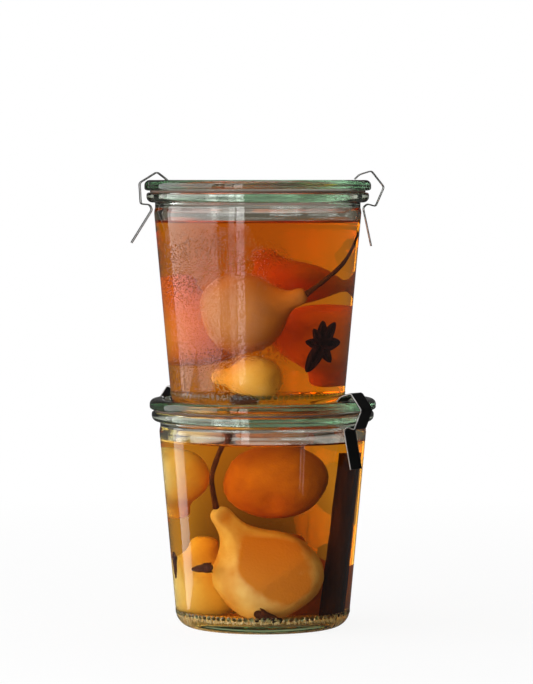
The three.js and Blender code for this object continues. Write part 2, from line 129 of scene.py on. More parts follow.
class JarGlassSettings(PropertyGroup):
    """Sizes of a jar's glass body, and the look of all the glass."""

    bead_radius: length("Bead radius", "Outer radius of the rim's bead", box_size("lower_jar").x / 2 / MM)
    rim_height: length("Rim height", "Height of the ground rim", box_size("lower_jar").z / MM)
    bead_overhang: length("Bead overhang", "How far the bead stands out from the neck", 4.1)
    bead_depth: length("Bead depth", "Height of the bead", 4.8)
    bead_round: length("Bead round", "Rounding under the bead", 2.8)
    rim_round: length("Rim round", "Rounding at the rim's outer edge", 1.2)
    mouth_ease: length("Mouth ease", "Rounding at the mouth's inner edge", 0.6)
    neck_height: length("Neck height", "From the shoulder to the rim", 10)
    neck_groove: length("Neck groove", "How far the neck is drawn in from the shoulder", 0.4)
    neck_run: length("Neck run", "Height over which the neck is drawn in", 2.5)
    wall: length("Wall", "Thickness of the glass wall", 3.5)
    floor: length("Floor", "Height of the inside floor", 5)
    inner_corner: length("Inner corner", "Rounding inside at the floor", 6)
    base_corner: length("Base corner", "Rounding outside at the foot", 8)
    standing_radius: length("Standing radius", "Outer radius of the standing ring", 34)
    standing_width: length("Standing width", "Width of the standing ring", 3)
    punt_rise: length("Punt rise", "How far the base is hollowed", 1.2)
    punt_slope: length("Punt slope", "Width of the slope into the hollow", 3)
    heel_dots: count("Heel dots", "Small raised dots round the foot", 96)
    heel_dot_radius: length("Heel dot radius", "Radius of one raised dot", 1.15)
    heel_dot_height: length("Heel dot height", "Height of the row of dots", 7.6)
    colour: tint("Glass colour", "What the glass lets through", (0.82, 0.95, 0.85))
    density: number("Glass density", "How strongly the glass tints", 45.0)
    ripple: share("Glass ripple", "Waviness of the pressed surface", 0.015)
    drop_size: length("Drop size", "Size of the fine drops on the misted glass", 0.9)
    drop_relief: share("Drop relief", "How strongly the fine drops stand out", 0.55)
    bending: number("Glass bending", "Refractive index of the glass", 1.5)
    sides: count("Glass sides", "Facets round the glass", 144)


class LidSettings(PropertyGroup):
    """Sizes of a lid and its seal."""

    radius: length("Lid radius", "Outer radius of the lid", box_size("lower_lid").x / 2 / MM)
    rim_width: length("Rim width", "Width of the raised rim", 7.2)
    rim_height: length("Rim height", "Height of the rim over the seal", 5.1)
    edge_round: length("Edge round", "Rounding of the lid's outer edge", 2.6)
    bevel_width: length("Bevel width", "Width of the bevel under the edge", 2.1)
    bevel_height: length("Bevel height", "Height of the bevel under the edge", 1.4)
    recess_depth: length("Recess depth", "Depth of the stacking recess", 4.9)
    lip_round: length("Lip round", "Rounding at the recess's edge", 1.4)
    sweep: length("Recess sweep", "Run of the curve from the recess's edge to its floor", 5.1)
    ease: length("Recess ease", "How far that curve is eased", 0.9)
    plate: length("Plate", "Thickness of the lid's plate", 4)
    plug_clearance: length("Plug clearance", "Gap between the plug and the mouth", 0.9)
    plug_round: length("Plug round", "Rounding of the plug's lower edge", 1.5)
    plug_fillet: length("Plug fillet", "Fillet between the plug and the flange", 1.2)
    seal_thickness: length("Seal thickness", "Thickness of the rubber ring", box_size("lower_seal").z / MM)
    seal_setback: length("Seal setback", "How far the ring lies inside the rim's flat", 0.5)
    seal_round: length("Seal round", "Rounding of the ring's edges", 0.3)
    seal_colour: tint("Seal colour", "Colour of the rubber", (0.055, 0.035, 0.025))


class ClipSettings(PropertyGroup):
    """Sizes of a clip strip. Corners are given in the closed pose."""

    thickness: length("Thickness", "Thickness of the strip", 0.7)
    width: length("Width", "Width of the strip", 9.5)
    nose_in: length("Nose in", "From the recess's edge in to the nose", 4.9)
    nose_drop: length("Nose drop", "From the lid's top down to the nose", 2.7)
    bend_in: length("Bend in", "From the recess's edge in to the nose's bend", 3.6)
    bend_rise: length("Bend rise", "From the lid's top up to the nose's bend", 0.1)
    apex_out: length("Apex out", "From the recess's edge out to the apex", 1.25)
    apex_rise: length("Apex rise", "From the lid's top up to the apex", 3.8)
    outer_out: length("Outer out", "From the lid's edge out to the outer bend", 2.4)
    outer_drop: length("Outer drop", "From the lid's top down to the outer bend", 1.4)
    lower_out: length("Lower out", "From the lid's edge out to the lower bend", 1.8)
    lower_drop: length("Lower drop", "From the bead down to the lower bend", 0.7)
    crest_in: length("Crest in", "From the bead's side in to the hook's crest", 1.4)
    crest_drop: length("Crest drop", "From the bead down to the hook's crest", 1.0)
    neck_in: length("Neck in", "From the bead's side in to the neck of the tail", 2.6)
    neck_drop: length("Neck drop", "From the bead down to the neck of the tail", 3.4)
    tail_out: length("Tail out", "From the bead's side out to the tail's end", 7.3)
    tail_drop: length("Tail drop", "From the bead down to the tail's end", 19.3)
    tip_angle: degrees("Tip angle", "How far a tipped clip leans out", 20)
    tip_out: length("Tip out", "How far a tipped clip's crest moves out", 0.5)
    tip_up: length("Tip up", "How far a tipped clip's crest moves up", 0.3)
    bend_round: length("Bend round", "Radius of the bends", 1.1)
    face_colour: tint("Face colour", "Dark rolled face of the strip", (0.035, 0.034, 0.033))
    edge_colour: tint("Edge colour", "Bright sheared edge of the strip", (0.42, 0.41, 0.40))


class FruitSettings(PropertyGroup):
    """Sizes and colours of the pears and their stems."""

    pear_radius: length("Pear radius", "Belly radius of a middling pear", 15)
    press: length("Press", "How far a pear by the wall is pressed to it", 0.7)
    gap: length("Gap", "Least gap between fruit and glass", 0.3)
    foot_share: number("Foot share", "From the belly to the foot, per belly radius", 0.92)
    peel_strokes: count("Peel strokes", "Flats that a peeler left round a pear", 13)
    peel_depth: share("Peel depth", "How flat the peeler's strokes are", 0.5)
    sides: count("Pear sides", "Facets round a pear's mesh", 80)
    grit_radius: length("Grit radius", "Radius of a usual grain of fruit grit", 0.7)
    grit_density: number("Grit density", "Grains on a square metre of floor", 500000.0)
    lumps: share("Lumps", "Unevenness of the flesh, per belly radius", 0.06)
    # Painted shade: a cut face is painted towards the deeper tone, as shade on a face turned from the light.
    cut_painted_shade: share("Cut stain", "How far a cut face goes towards the deeper tone", 0.8)
    stem_radius: length("Stem radius", "Radius of a stem", 1.3)
    stem_length: length("Stem length", "Length of the free stem", 34)
    cream: tint("Cream flesh", "Flesh that took up least syrup", (0.98, 0.93, 0.79))
    pale: tint("Pale flesh", "Flesh that took up hardly any syrup", (0.97, 0.90, 0.70))
    honey: tint("Honey flesh", "Flesh that took up little syrup", (0.95, 0.72, 0.36))
    golden: tint("Golden flesh", "Flesh that took up some syrup", (0.90, 0.50, 0.12))
    amber: tint("Amber flesh", "Flesh that took up much syrup", (0.78, 0.37, 0.07))
    caramel: tint("Caramel flesh", "Flesh that took up a lot of syrup", (0.72, 0.29, 0.05))
    # The front pear's deeper tone: its own colour in patches, and painted shade over its cut face.
    toffee_and_cut_shade: tint("Toffee flesh", "Flesh of a cut face in the syrup", (0.70, 0.25, 0.04))
    sallow: tint("Sallow flesh", "Flesh that was unripe when it was poached", (0.48, 0.48, 0.10))
    russet: tint("Russet flesh", "Flesh that reddened as it was poached", (0.60, 0.20, 0.04))
    rosy: tint("Rosy flesh", "Flesh that took up most syrup", (0.50, 0.17, 0.06))
    stem: tint("Stem colour", "Colour of the stems", (0.085, 0.022, 0.012))


class SpiceSettings(PropertyGroup):
    """Sizes and colours of the spices."""

    quill_radius: length("Quill radius", "Outer radius of the cinnamon quill", 5.5)
    quill_length: length("Quill length", "Length of the cinnamon quill", 80)
    quill_bark: length("Quill bark", "Thickness of the bark", 1.2)
    quill_gap: length("Quill gap", "Gap between the turns of bark", 0.5)
    quill_turns: number("Quill turns", "Turns of the roll", 1.3)
    quill_inset: length("Quill inset", "From the wall to the quill's axis at the floor", 14.4)
    quill_azimuth: degrees("Quill azimuth", "Where the quill stands round the jar", 6)
    star_radius: length("Star radius", "Radius of the star anise", 14)
    star_pods: count("Star pods", "Pods of the star anise", 8)
    star_thickness: length("Star thickness", "Thickness of the star anise", 4)
    clove_length: length("Clove length", "Length of a clove", 13)
    clove_tip: length("Clove tip", "Radius at a clove's tip", 0.8)
    clove_stem: length("Clove stem", "Radius of a clove's stem", 2.0)
    clove_cup: length("Clove cup", "Radius over a clove's sepals", 3.1)
    clove_cup_length: length("Clove cup length", "Length of a clove's sepals", 2.6)
    clove_bud_length: length("Clove bud length", "Length of a clove's bud", 1.8)
    clove_rest: length("Clove rest", "Height of a lying clove's tip over the floor", 1.5)
    clove_floor_inset: length("Clove floor inset", "From the wall to a lying clove's tip", 4.2)
    clove_wall_inset: length("Clove wall inset", "From the wall to a standing clove's tip", 2)
    bark: tint("Bark colour", "Colour of the cinnamon", (0.045, 0.018, 0.010))
    clove: tint("Clove colour", "Colour of the cloves", (0.060, 0.018, 0.010))
    star: tint("Star colour", "Colour of the star anise", (0.028, 0.006, 0.008))


class SyrupSettings(PropertyGroup):
    """Level and colour of the syrup."""

    below_shoulder: length("Below shoulder", "From the shoulder down to the syrup", 4)
    meniscus: length("Meniscus", "Rise of the syrup at the glass", 1.0)
    into_glass: length("Into glass", "How far the syrup's skin lies in the glass", 0.2)
    bending: number("Syrup bending", "Refractive index of the syrup", 1.4)
    colour: tint("Syrup colour", "What the syrup lets through", (0.97, 0.72, 0.0))
    upper_density: number("Upper density", "How strongly the upper jar's syrup tints", 75.0)
    lower_density: number("Lower density", "How strongly the lower jar's syrup tints", 56.0)


class StageSettings(PropertyGroup):
    """Light, floor and camera."""

    side_glow: number("Side glow", "Radiance of the wide panels on the left", 2.4)
    strip_glow: number("Strip glow", "Radiance of the bright strip in front on the left", 4.0)
    thin_glow: number("Thin glow", "Radiance of the dimmer strip beside it and of the thin lines", 1.8)
    top_glow: number("Top glow", "Radiance of the panel overhead", 2.0)
    fill_glow: number("Fill glow", "Radiance of the panel that fills the left, left out of reflections", 2.6)
    low_fill_glow: number("Low fill glow", "Radiance of the low panel that helps it", 3.9)
    floor_through: share("Floor through glass", "How bright the floor by the jars looks through glass", 0.18)
    ambient: share("Ambient", "Light from all round", 0.22)
    room: share("Room", "How bright the room is in reflections", 0.08)
    left_set: share("Left set", "How bright the left looks through glass", 0.55)
    middle_set: share("Middle set", "How bright front and back look through glass", 0.5)
    right_set: share("Right set", "How bright the right looks through glass", 0.6)
    low_set: share("Low set", "How bright the set is near the table, beside its upper part", 0.2)
    high_set: share("High set", "How bright the set high up looks through glass, as a share", 0.4)
    set_colour: tint("Set colour", "Colour of the set as seen through glass", (1.0, 0.96, 0.86))
    table_colour: tint("Table colour", "Colour of the table as seen through glass", (1.0, 0.84, 0.62))
    floor_glow: share("Floor glow", "Share of the floor's white that isn't lit", 0.9)
    camera_distance: length("Camera distance", "From the camera to the jars' axes", 1700)
    camera_height: length("Camera height", "Height of the camera", 214.6)
    lens: number("Lens", "Focal length in millimetres", 185.95)
    pitch: degrees("Pitch", "How far the camera looks down", 2.609)
    yaw: degrees("Yaw", "How far the camera is turned to the right", 0.1012)


SETTINGS = {
    "jar_glass": JarGlassSettings,
    "jar_lid": LidSettings,
    "jar_clip": ClipSettings,
    "jar_fruit": FruitSettings,
    "jar_spice": SpiceSettings,
    "jar_syrup": SyrupSettings,
    "jar_stage": StageSettings,
}


def setting(name):
    return getattr(bpy.context.scene, name)


# Shapes worked out from the sizes


class JarShape:
    """The radii and heights of a jar, from its foot up, in the jar's own frame."""

    def __init__(self):
        g = setting("jar_glass")
        lid = setting("jar_lid")
        self.glass = g
        self.bead_bottom = g.rim_height - g.bead_depth
        self.shoulder_height = g.rim_height - g.neck_height
        self.neck_radius = g.bead_radius - g.bead_overhang
        self.shoulder_radius = self.neck_radius + g.neck_groove
        across = self.shoulder_radius - g.standing_radius
        rise = self.shoulder_height - g.base_corner
        self.tilt = math.atan2(across, rise) - math.asin(g.base_corner / math.hypot(across, rise))
        self.mouth_radius = self.inner_radius(self.shoulder_height)
        self.lid_seat = g.rim_height + lid.seal_thickness
        self.lid_top = self.lid_seat + lid.rim_height
        self.recess_floor = self.lid_top - lid.recess_depth
        self.recess_radius = lid.radius - lid.rim_width
        self.plug_bottom = self.recess_floor - lid.plate
        self.syrup_level = self.shoulder_height - setting("jar_syrup").below_shoulder

    def outer_radius(self, height):
        return self.shoulder_radius - (self.shoulder_height - height) * math.tan(self.tilt)

    def inner_radius(self, height):
        return self.outer_radius(height) - self.glass.wall / math.cos(self.tilt)

    def corner_centre(self):
        """Centre of the rounding inside at the floor."""
        height = self.glass.floor + self.glass.inner_corner
        return self.inner_radius(height) - self.glass.inner_corner / math.cos(self.tilt), height

    def room_radius(self, height, gap):
        """Radius of the room inside at a height, drawn in by a gap."""
        centre_radius, centre_height = self.corner_centre()
        corner = self.glass.inner_corner
        below = centre_height - height
        if below <= corner * math.sin(self.tilt):
            return min(self.inner_radius(height), self.mouth_radius) - gap
        below = min(below, corner - gap)
        return centre_radius + math.sqrt(max((corner - gap) ** 2 - below**2, 0))

    def contact(self):
        """Height at which the syrup's edge stands on the glass."""
        return self.syrup_level + setting("jar_syrup").meniscus

    def depth_share(self, part):
        return self.glass.floor + part * (self.syrup_level - self.glass.floor)

    def by_wall(self, azimuth, height, inset):
        """A place at an azimuth and a height, a distance in from the glass."""
        return polar(azimuth, self.inner_radius(height) - inset / math.cos(self.tilt), height)


def polar(azimuth, radius, height):
    angle = math.radians(azimuth)
    return Vector((radius * math.cos(angle), radius * math.sin(angle), height))


def arc(centre, radius, start, end, steps):
    """Points on an arc in a profile's plane, with angles in degrees."""
    points = []
    for i in range(steps + 1):
        angle = math.radians(start + (end - start) * i / steps)
        points.append((centre[0] + radius * math.cos(angle), centre[1] + radius * math.sin(angle)))
    return points


def bezier(points, steps):
    """Points on a quadratic or cubic curve, without its first point."""
    out = []
    for i in range(1, steps + 1):
        level = [Vector(p) for p in points]
        t = i / steps
        while len(level) > 1:
            level = [a.lerp(b, t) for a, b in zip(level, level[1:])]
        out.append(tuple(level[0]))
    return out


def line(start, end, steps):
    """Points on a straight run, without its first point."""
    return bezier([start, end], steps)


def revolve(profile, sides, closed=False):
    """Vertices and outward faces of a profile in (radius, height), turned about the Z axis."""
    verts = []
    rings = []
    for radius, height in profile:
        if radius < AXIS:
            rings.append([len(verts)])
            verts.append(Vector((0, 0, height)))
            continue
        rings.append(list(range(len(verts), len(verts) + sides)))
        for i in range(sides):
            angle = 2 * math.pi * i / sides
            verts.append(Vector((radius * math.cos(angle), radius * math.sin(angle), height)))
    faces = []
    runs = list(zip(rings, rings[1:]))
    if closed:
        runs.append((rings[-1], rings[0]))
    for lower, upper in runs:
        for i in range(sides):
            j = (i + 1) % sides
            if len(lower) == 1:
                faces.append((lower[0], upper[j], upper[i]))
            elif len(upper) == 1:
                faces.append((lower[i], lower[j], upper[0]))
            else:
                faces.append((lower[i], lower[j], upper[j], upper[i]))
    return verts, faces


def loft(rings):
    """Vertices and faces of a closed skin over rings of equal length, with fans at both ends."""
    sides = len(rings[0])
    verts = [Vector(p) for ring in rings for p in ring]
    faces = []
    for k in range(len(rings) - 1):
        low, high = k * sides, (k + 1) * sides
        for i in range(sides):
            j = (i + 1) % sides
            faces.append((low + i, low + j, high + j, high + i))
    for ring, end in ((rings[0], 0), (rings[-1], (len(rings) - 1) * sides)):
        hub = len(verts)
        verts.append(sum((Vector(p) for p in ring), Vector()) / sides)
        for i in range(sides):
            j = (i + 1) % sides
            faces.append((hub, end + j, end + i) if end == 0 else (hub, end + i, end + j))
    return verts, faces


def smooth_path(points, steps):
    """Points on a smooth curve through the given ones."""
    guide = [points[0] * 2 - points[1], *points, points[-1] * 2 - points[-2]]
    out = [points[0].copy()]
    for a, b, c, d in zip(guide, guide[1:], guide[2:], guide[3:]):
        for i in range(1, steps + 1):
            t = i / steps
            bend = 2 * a - 5 * b + 4 * c - d
            twist = 3 * b - a - 3 * c + d
            out.append(0.5 * (2 * b + (c - a) * t + bend * t**2 + twist * t**3))
    return out


def tube_rings(path, radii, sides):
    """Round rings along a path, turned as little as possible from one to the next."""
    tangent = (path[1] - path[0]).normalized()
    across = tangent.orthogonal().normalized()
    rings = []
    for i, point in enumerate(path):
        ahead = path[min(i + 1, len(path) - 1)] - path[max(i - 1, 0)]
        across = (across - ahead.normalized() * across.dot(ahead.normalized())).normalized()
        side = ahead.normalized().cross(across)
        ring = []
        for k in range(sides):
            angle = 2 * math.pi * k / sides
            ring.append(point + (across * math.cos(angle) + side * math.sin(angle)) * radii[i])
        rings.append(ring)
    return rings


def moved(verts, matrix):
    return [matrix @ v for v in verts]


def in_jar(jar, skin):
    """A skin moved from its jar's own frame to the jar's place."""
    verts, faces = skin
    return moved(verts, Matrix.Translation(jar_base(jar))), faces


def joined(*parts):
    """Several skins as one list of vertices and faces."""
    verts = []
    faces = []
    for part_verts, part_faces in parts:
        start = len(verts)
        verts.extend(part_verts)
        faces.extend(tuple(start + i for i in face) for face in part_faces)
    return verts, faces


def skin_object(name, skin, material, sharp=None):
    """A mesh object at the origin from vertices and faces."""
    verts, faces = skin
    mesh = bpy.data.meshes.new(name)
    mesh.from_pydata([tuple(v) for v in verts], [], faces)
    mesh.polygons.foreach_set("use_smooth", [True] * len(mesh.polygons))
    if sharp is not None:
        mesh.set_sharp_from_angle(angle=math.radians(sharp))
    mesh.materials.append(material)
    mesh.update()
    piece = bpy.data.objects.new(name, mesh)
    bpy.context.scene.collection.objects.link(piece)
    return piece


def settle(piece, body, slot, *nodes):
    """Fixes a finished piece to its body and hides the nodes that it stands for; the slot it is given is not
    used.
    """
    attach(piece, body)
    if nodes:
        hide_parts(*nodes)
    return piece


# Shader helpers


def new_tree(name):
    material = bpy.data.materials.new(name)
    material.use_nodes = True
    material.node_tree.nodes.clear()
    return material, material.node_tree


def add(tree, kind, inputs=None, **settings):
    """A node with its inputs set: a plain value is written, and another node's output is linked."""
    made = tree.nodes.new(kind)
    for key, value in settings.items():
        setattr(made, key, value)
    for key, value in (inputs or {}).items():
        if isinstance(value, bpy.types.NodeSocket):
            tree.links.new(value, made.inputs[key])
        else:
            made.inputs[key].default_value = value
    return made


def rgba(colour):
    return (*colour, 1.0)


def worked(tree, operation, *values, clamp=False):
    """What a sum, product or the like of outputs and plain numbers comes to."""
    inputs = dict(enumerate(values))
    return add(tree, "ShaderNodeMath", inputs, operation=operation, use_clamp=clamp).outputs["Value"]


def marked(tree, name):
    """A mark that a piece carries at its points."""
    return add(tree, "ShaderNodeAttribute", attribute_name=name).outputs["Fac"]


def mottle_group():
    """Soft uneven patches: a mask of patches and a fine height, from the piece's own coordinates."""
    found = bpy.data.node_groups.get("mottle")
    if found:
        return found
    group = bpy.data.node_groups.new("mottle", "ShaderNodeTree")
    for name, value in (("Patch Scale", 60.0), ("Grain Scale", 900.0), ("Contrast", 1.0), ("Stretch", 1.0)):
        socket = group.interface.new_socket(name, in_out="INPUT", socket_type="NodeSocketFloat")
        socket.default_value = value
    for name in ("Patches", "Grain"):
        group.interface.new_socket(name, in_out="OUTPUT", socket_type="NodeSocketFloat")
    start = add(group, "NodeGroupInput").outputs
    place = add(group, "ShaderNodeTexCoord").outputs["Object"]
    stretch = add(group, "ShaderNodeCombineXYZ", {"X": 1.0, "Y": 1.0, "Z": start["Stretch"]})
    factors = {0: place, 1: stretch.outputs["Vector"]}
    scaled = add(group, "ShaderNodeVectorMath", factors, operation="MULTIPLY").outputs["Vector"]
    fields = []
    for size, detail, rough in (("Patch Scale", 4.0, 0.55), ("Grain Scale", 3.0, 0.6)):
        inputs = {"Vector": scaled, "Scale": start[size], "Detail": detail, "Roughness": rough}
        fields.append(add(group, "ShaderNodeTexNoise", inputs).outputs["Fac"])
    patches, grain = fields
    stretched = worked(group, "MULTIPLY", worked(group, "SUBTRACT", patches, 0.5), start["Contrast"])
    mask = worked(group, "ADD", stretched, 0.5, clamp=True)
    add(group, "NodeGroupOutput", {"Patches": mask, "Grain": grain})
    return group


def mottled(tree, sizes):
    """The outputs of the mottle group, placed with its own values."""
    return add(tree, "ShaderNodeGroup", sizes, node_tree=mottle_group()).outputs


def blended(tree, mask, low, high):
    """A colour between two, by a mask."""
    ends = {"A": low, "B": high}
    for key, end in ends.items():
        if not isinstance(end, bpy.types.NodeSocket):
            ends[key] = rgba(end)
    return add(tree, "ShaderNodeMix", {"Factor": mask, **ends}, data_type="RGBA").outputs["Result"]


def spread_over(tree, source, low, high, start, end):
    """A value that goes from start to end while the source goes from low to high."""
    limits = {"From Min": low, "From Max": high, "To Min": start, "To Max": end}
    return add(tree, "ShaderNodeMapRange", {"Value": source, **limits}).outputs["Result"]


def ranged(tree, source, start, end):
    """A value spread between two limits."""
    return spread_over(tree, source, 0.0, 1.0, start, end)


def bumped(tree, height, strength, distance, normal=None):
    """A normal that leans with a height, on top of another normal where one is given."""
    inputs = {"Height": height, "Strength": strength, "Distance": distance}
    if normal is not None:
        inputs["Normal"] = normal
    return add(tree, "ShaderNodeBump", inputs).outputs["Normal"]


def switched(tree, shader, *cases):
    """A shader that gives way to another for each kind of ray, where the last case wins."""
    for factor, other in cases:
        shader = add(tree, "ShaderNodeMixShader", {"Fac": factor, 1: shader, 2: other}).outputs["Shader"]
    return shader


def clear_stuff(tree, bending, touching, shade, colour, density, normal=None):
    """Clear stuff that bends and tints light, and lets the lamps light what is inside it."""
    inputs = {"Base Color": WHITE, "Roughness": 0.0, "IOR": bending, "Transmission Weight": 1.0}
    if normal is not None:
        inputs["Normal"] = normal
    skin = add(tree, "ShaderNodeBsdfPrincipled", inputs)
    tree.links.new(ranged(tree, marked(tree, "wet"), bending, touching), skin.inputs["IOR"])
    lamp_rays = add(tree, "ShaderNodeLightPath").outputs["Is Shadow Ray"]
    clear = add(tree, "ShaderNodeBsdfTransparent", {"Color": rgba(shade)}).outputs["BSDF"]
    surface = switched(tree, skin.outputs["BSDF"], (lamp_rays, clear))
    body = add(tree, "ShaderNodeVolumeAbsorption", {"Color": rgba(colour), "Density": density})
    add(tree, "ShaderNodeOutputMaterial", {"Surface": surface, "Volume": body.outputs["Volume"]})


class Finish(NamedTuple):
    """An uneven surface: its two tones per plain colour, the scales of its patches and grain, its feel."""

    dark: float
    light: float
    patch_scale: float
    grain_scale: float
    contrast: float
    rough: tuple
    bump: float
    grain_height: float = 0.6 * MM
    stretch: float = 1.0
    gloss: float = 0.05
    metallic: float = 0.0

    def tones(self, dark, light):
        """The darker and the lighter tone."""
        shades = ((dark, self.dark), (light, self.light))
        return [tuple(min(1.0, c * factor) for c in colour) for colour, factor in shades]

    def begin(self, name):
        """A new material, its tree and its patches and grain."""
        material, tree = new_tree(name)
        sizes = {"Patch Scale": self.patch_scale, "Grain Scale": self.grain_scale}
        return material, tree, mottled(tree, {**sizes, "Contrast": self.contrast, "Stretch": self.stretch})

    def end(self, tree, colour, grain):
        """The surface of a colour, which its grain roughens."""
        inputs = {
            "Base Color": colour,
            "Metallic": self.metallic,
            "Specular IOR Level": self.gloss,
            "Roughness": ranged(tree, grain, *self.rough),
            "Normal": bumped(tree, grain, self.bump, self.grain_height),
        }
        surface = add(tree, "ShaderNodeBsdfPrincipled", inputs).outputs["BSDF"]
        add(tree, "ShaderNodeOutputMaterial", {"Surface": surface})


FINISHES = {
    "seal_rubber": Finish(0.7, 1.4, 120.0, 1500.0, 1.2, (0.45, 0.7), 0.15, gloss=0.4),
    "spring_steel": Finish(
        0.6, 1.5, 90.0, 1400.0, 1.4, (0.22, 0.42), 0.08, 0.3 * MM, gloss=0.5, metallic=1.0
    ),
    "pear_flesh": Finish(1.0, 1.0, 55.0, 900.0, 2.2, (0.3, 0.5), 0.35, gloss=0.08),
    "pear_stem": Finish(0.6, 1.8, 220.0, 1500.0, 1.6, (0.5, 0.8), 0.4),
    "cinnamon_bark": Finish(0.45, 1.7, 160.0, 900.0, 1.8, (0.55, 0.85), 0.6, stretch=0.18),
    "dried_clove": Finish(0.5, 1.9, 300.0, 2000.0, 1.6, (0.5, 0.8), 0.5),
    "star_anise_pod": Finish(0.5, 2.0, 240.0, 1600.0, 1.6, (0.35, 0.7), 0.4),
    "fruit_grit": Finish(1.0, 1.0, 500.0, 3000.0, 1.5, (0.3, 0.5), 0.1),
}


def glass_material():
    """Clear pressed glass, faintly green, with a slight ripple and fine drops where it is misted."""
    found = bpy.data.materials.get("pressed_glass")
    if found:
        return found
    look = setting("jar_glass")
    material, tree = new_tree("pressed_glass")
    ripple = mottled(tree, {"Patch Scale": 45.0, "Grain Scale": 260.0, "Stretch": 0.5})
    waves = bumped(tree, ripple["Patches"], look.ripple, 2 * MM)
    place = add(tree, "ShaderNodeTexCoord").outputs["Object"]
    drops = add(tree, "ShaderNodeTexVoronoi", {"Vector": place, "Scale": 1 / look.drop_size})
    domes = spread_over(tree, drops.outputs["Distance"], 0.0, 0.5, 1.0, 0.0)
    wetness = worked(tree, "MULTIPLY", domes, marked(tree, "mist"))
    normal = bumped(tree, wetness, look.drop_relief, look.drop_size / 2, waves)
    touching = look.bending / setting("jar_syrup").bending
    clear_stuff(tree, look.bending, touching, GLASS_SHADE, look.colour, look.density, normal)
    return material


def syrup_material(name, density):
    """Clear amber syrup, deeper in colour the further light goes through it."""
    look = setting("jar_syrup")
    material, tree = new_tree(name)
    clear_stuff(tree, look.bending, 1.0, (1, 1, 1), look.colour, density)
    return material


def matter_material(name, *colours):
    """Uneven natural stuff of one colour or between two, in patches."""
    found = bpy.data.materials.get(name)
    if found:
        return found
    finish = FINISHES[name]
    material, tree, spots = finish.begin(name)
    tones = finish.tones(colours[0], colours[-1])
    finish.end(tree, blended(tree, spots["Patches"], *tones), spots["Grain"])
    return material


def steel_material():
    """Rolled spring steel: dark brushed faces and bright sheared edges."""
    found = bpy.data.materials.get("spring_steel")
    if found:
        return found
    look = setting("jar_clip")
    finish = FINISHES["spring_steel"]
    material, tree, marks = finish.begin("spring_steel")
    face = blended(tree, marks["Patches"], *finish.tones(look.face_colour, look.face_colour))
    colour = blended(tree, marked(tree, "edge"), face, look.edge_colour)
    finish.end(tree, colour, marks["Grain"])
    return material


# Glass


def jar_profile(shape):
    """A jar's profile from the middle of its base round to its inside floor, and its first wetted ring."""
    g = shape.glass
    punt_radius = g.standing_radius - g.standing_width - g.punt_slope
    standing_inner = g.standing_radius - g.standing_width
    bead = (g.bead_radius - g.bead_round, shape.bead_bottom + g.bead_round)
    bead_start = -90 - math.degrees(math.asin((bead[0] - shape.neck_radius) / g.bead_round))
    rim = (g.bead_radius - g.rim_round, g.rim_height - g.rim_round)
    ease = (shape.mouth_radius + g.mouth_ease, g.rim_height - g.mouth_ease)
    tilt = math.degrees(shape.tilt)
    points = [(0, g.punt_rise)]
    points += line(points[-1], (punt_radius, g.punt_rise), 6)
    points += bezier([points[-1], (punt_radius + g.punt_slope / 2, g.punt_rise), (standing_inner, 0)], 5)
    points += line(points[-1], (g.standing_radius, 0), 2)
    points += arc((g.standing_radius, g.base_corner), g.base_corner, -90, -tilt, 14)[1:]
    points += line(points[-1], (shape.shoulder_radius, shape.shoulder_height), 24)
    neck = (shape.neck_radius, shape.shoulder_height + g.neck_run)
    points += bezier([points[-1], (shape.shoulder_radius, shape.shoulder_height + g.neck_run / 2), neck], 5)
    points += arc(bead, g.bead_round, bead_start, 0, 12)
    points += arc(rim, g.rim_round, 0, 90, 6)
    points += line(points[-1], (ease[0], g.rim_height), 3)
    points += arc(ease, g.mouth_ease, 90, 180, 4)[1:]
    points += line(points[-1], (shape.mouth_radius, shape.shoulder_height), 4)
    contact = shape.contact()
    points += line(points[-1], (shape.inner_radius(contact + HAIR), contact + HAIR), 2)
    first_wet = len(points)
    points.append((shape.inner_radius(contact), contact))
    points += line(points[-1], tuple(wall_foot(shape)), 24)
    points += arc(shape.corner_centre(), g.inner_corner, -tilt, -90, 12)[1:]
    points += line(points[-1], (0, g.floor), 6)
    return points, range(first_wet, len(points))


def wall_foot(shape):
    """Where the inside wall meets the rounding at the floor."""
    radius, height = shape.corner_centre()
    corner = shape.glass.inner_corner
    return radius + corner * math.cos(shape.tilt), height - corner * math.sin(shape.tilt)


def lid_profile(shape):
    lid = setting("jar_lid")
    plug_radius = shape.mouth_radius - lid.plug_clearance
    plug = (plug_radius - lid.plug_round, shape.plug_bottom + lid.plug_round)
    edge = (lid.radius - lid.edge_round, shape.lid_top - lid.edge_round)
    lip = (shape.recess_radius + lid.lip_round, shape.lid_top - lid.lip_round)
    bevel = (lid.radius - lid.bevel_width, shape.lid_seat)
    points = [(0, shape.plug_bottom)]
    points += line(points[-1], (plug[0], shape.plug_bottom), 6)
    points += arc(plug, lid.plug_round, -90, 0, 8)[1:]
    points += line(points[-1], (plug_radius, shape.lid_seat - lid.plug_fillet), 2)
    seat = (plug_radius + lid.plug_fillet, shape.lid_seat)
    points += bezier([points[-1], (plug_radius, shape.lid_seat), seat], 6)
    points += line(points[-1], bevel, 4)
    flank = (lid.radius, shape.lid_seat + lid.bevel_height)
    points += bezier([bevel, (lid.radius, shape.lid_seat), flank], 8)
    points += arc(edge, lid.edge_round, 0, 90, 12)
    points += arc(lip, lid.lip_round, 90, 180, 8)
    ease = (shape.recess_radius - lid.ease, shape.recess_floor + lid.ease)
    points += bezier([points[-1], ease, (shape.recess_radius - lid.sweep, shape.recess_floor)], 12)
    points += line(points[-1], (0, shape.recess_floor), 6)
    return points


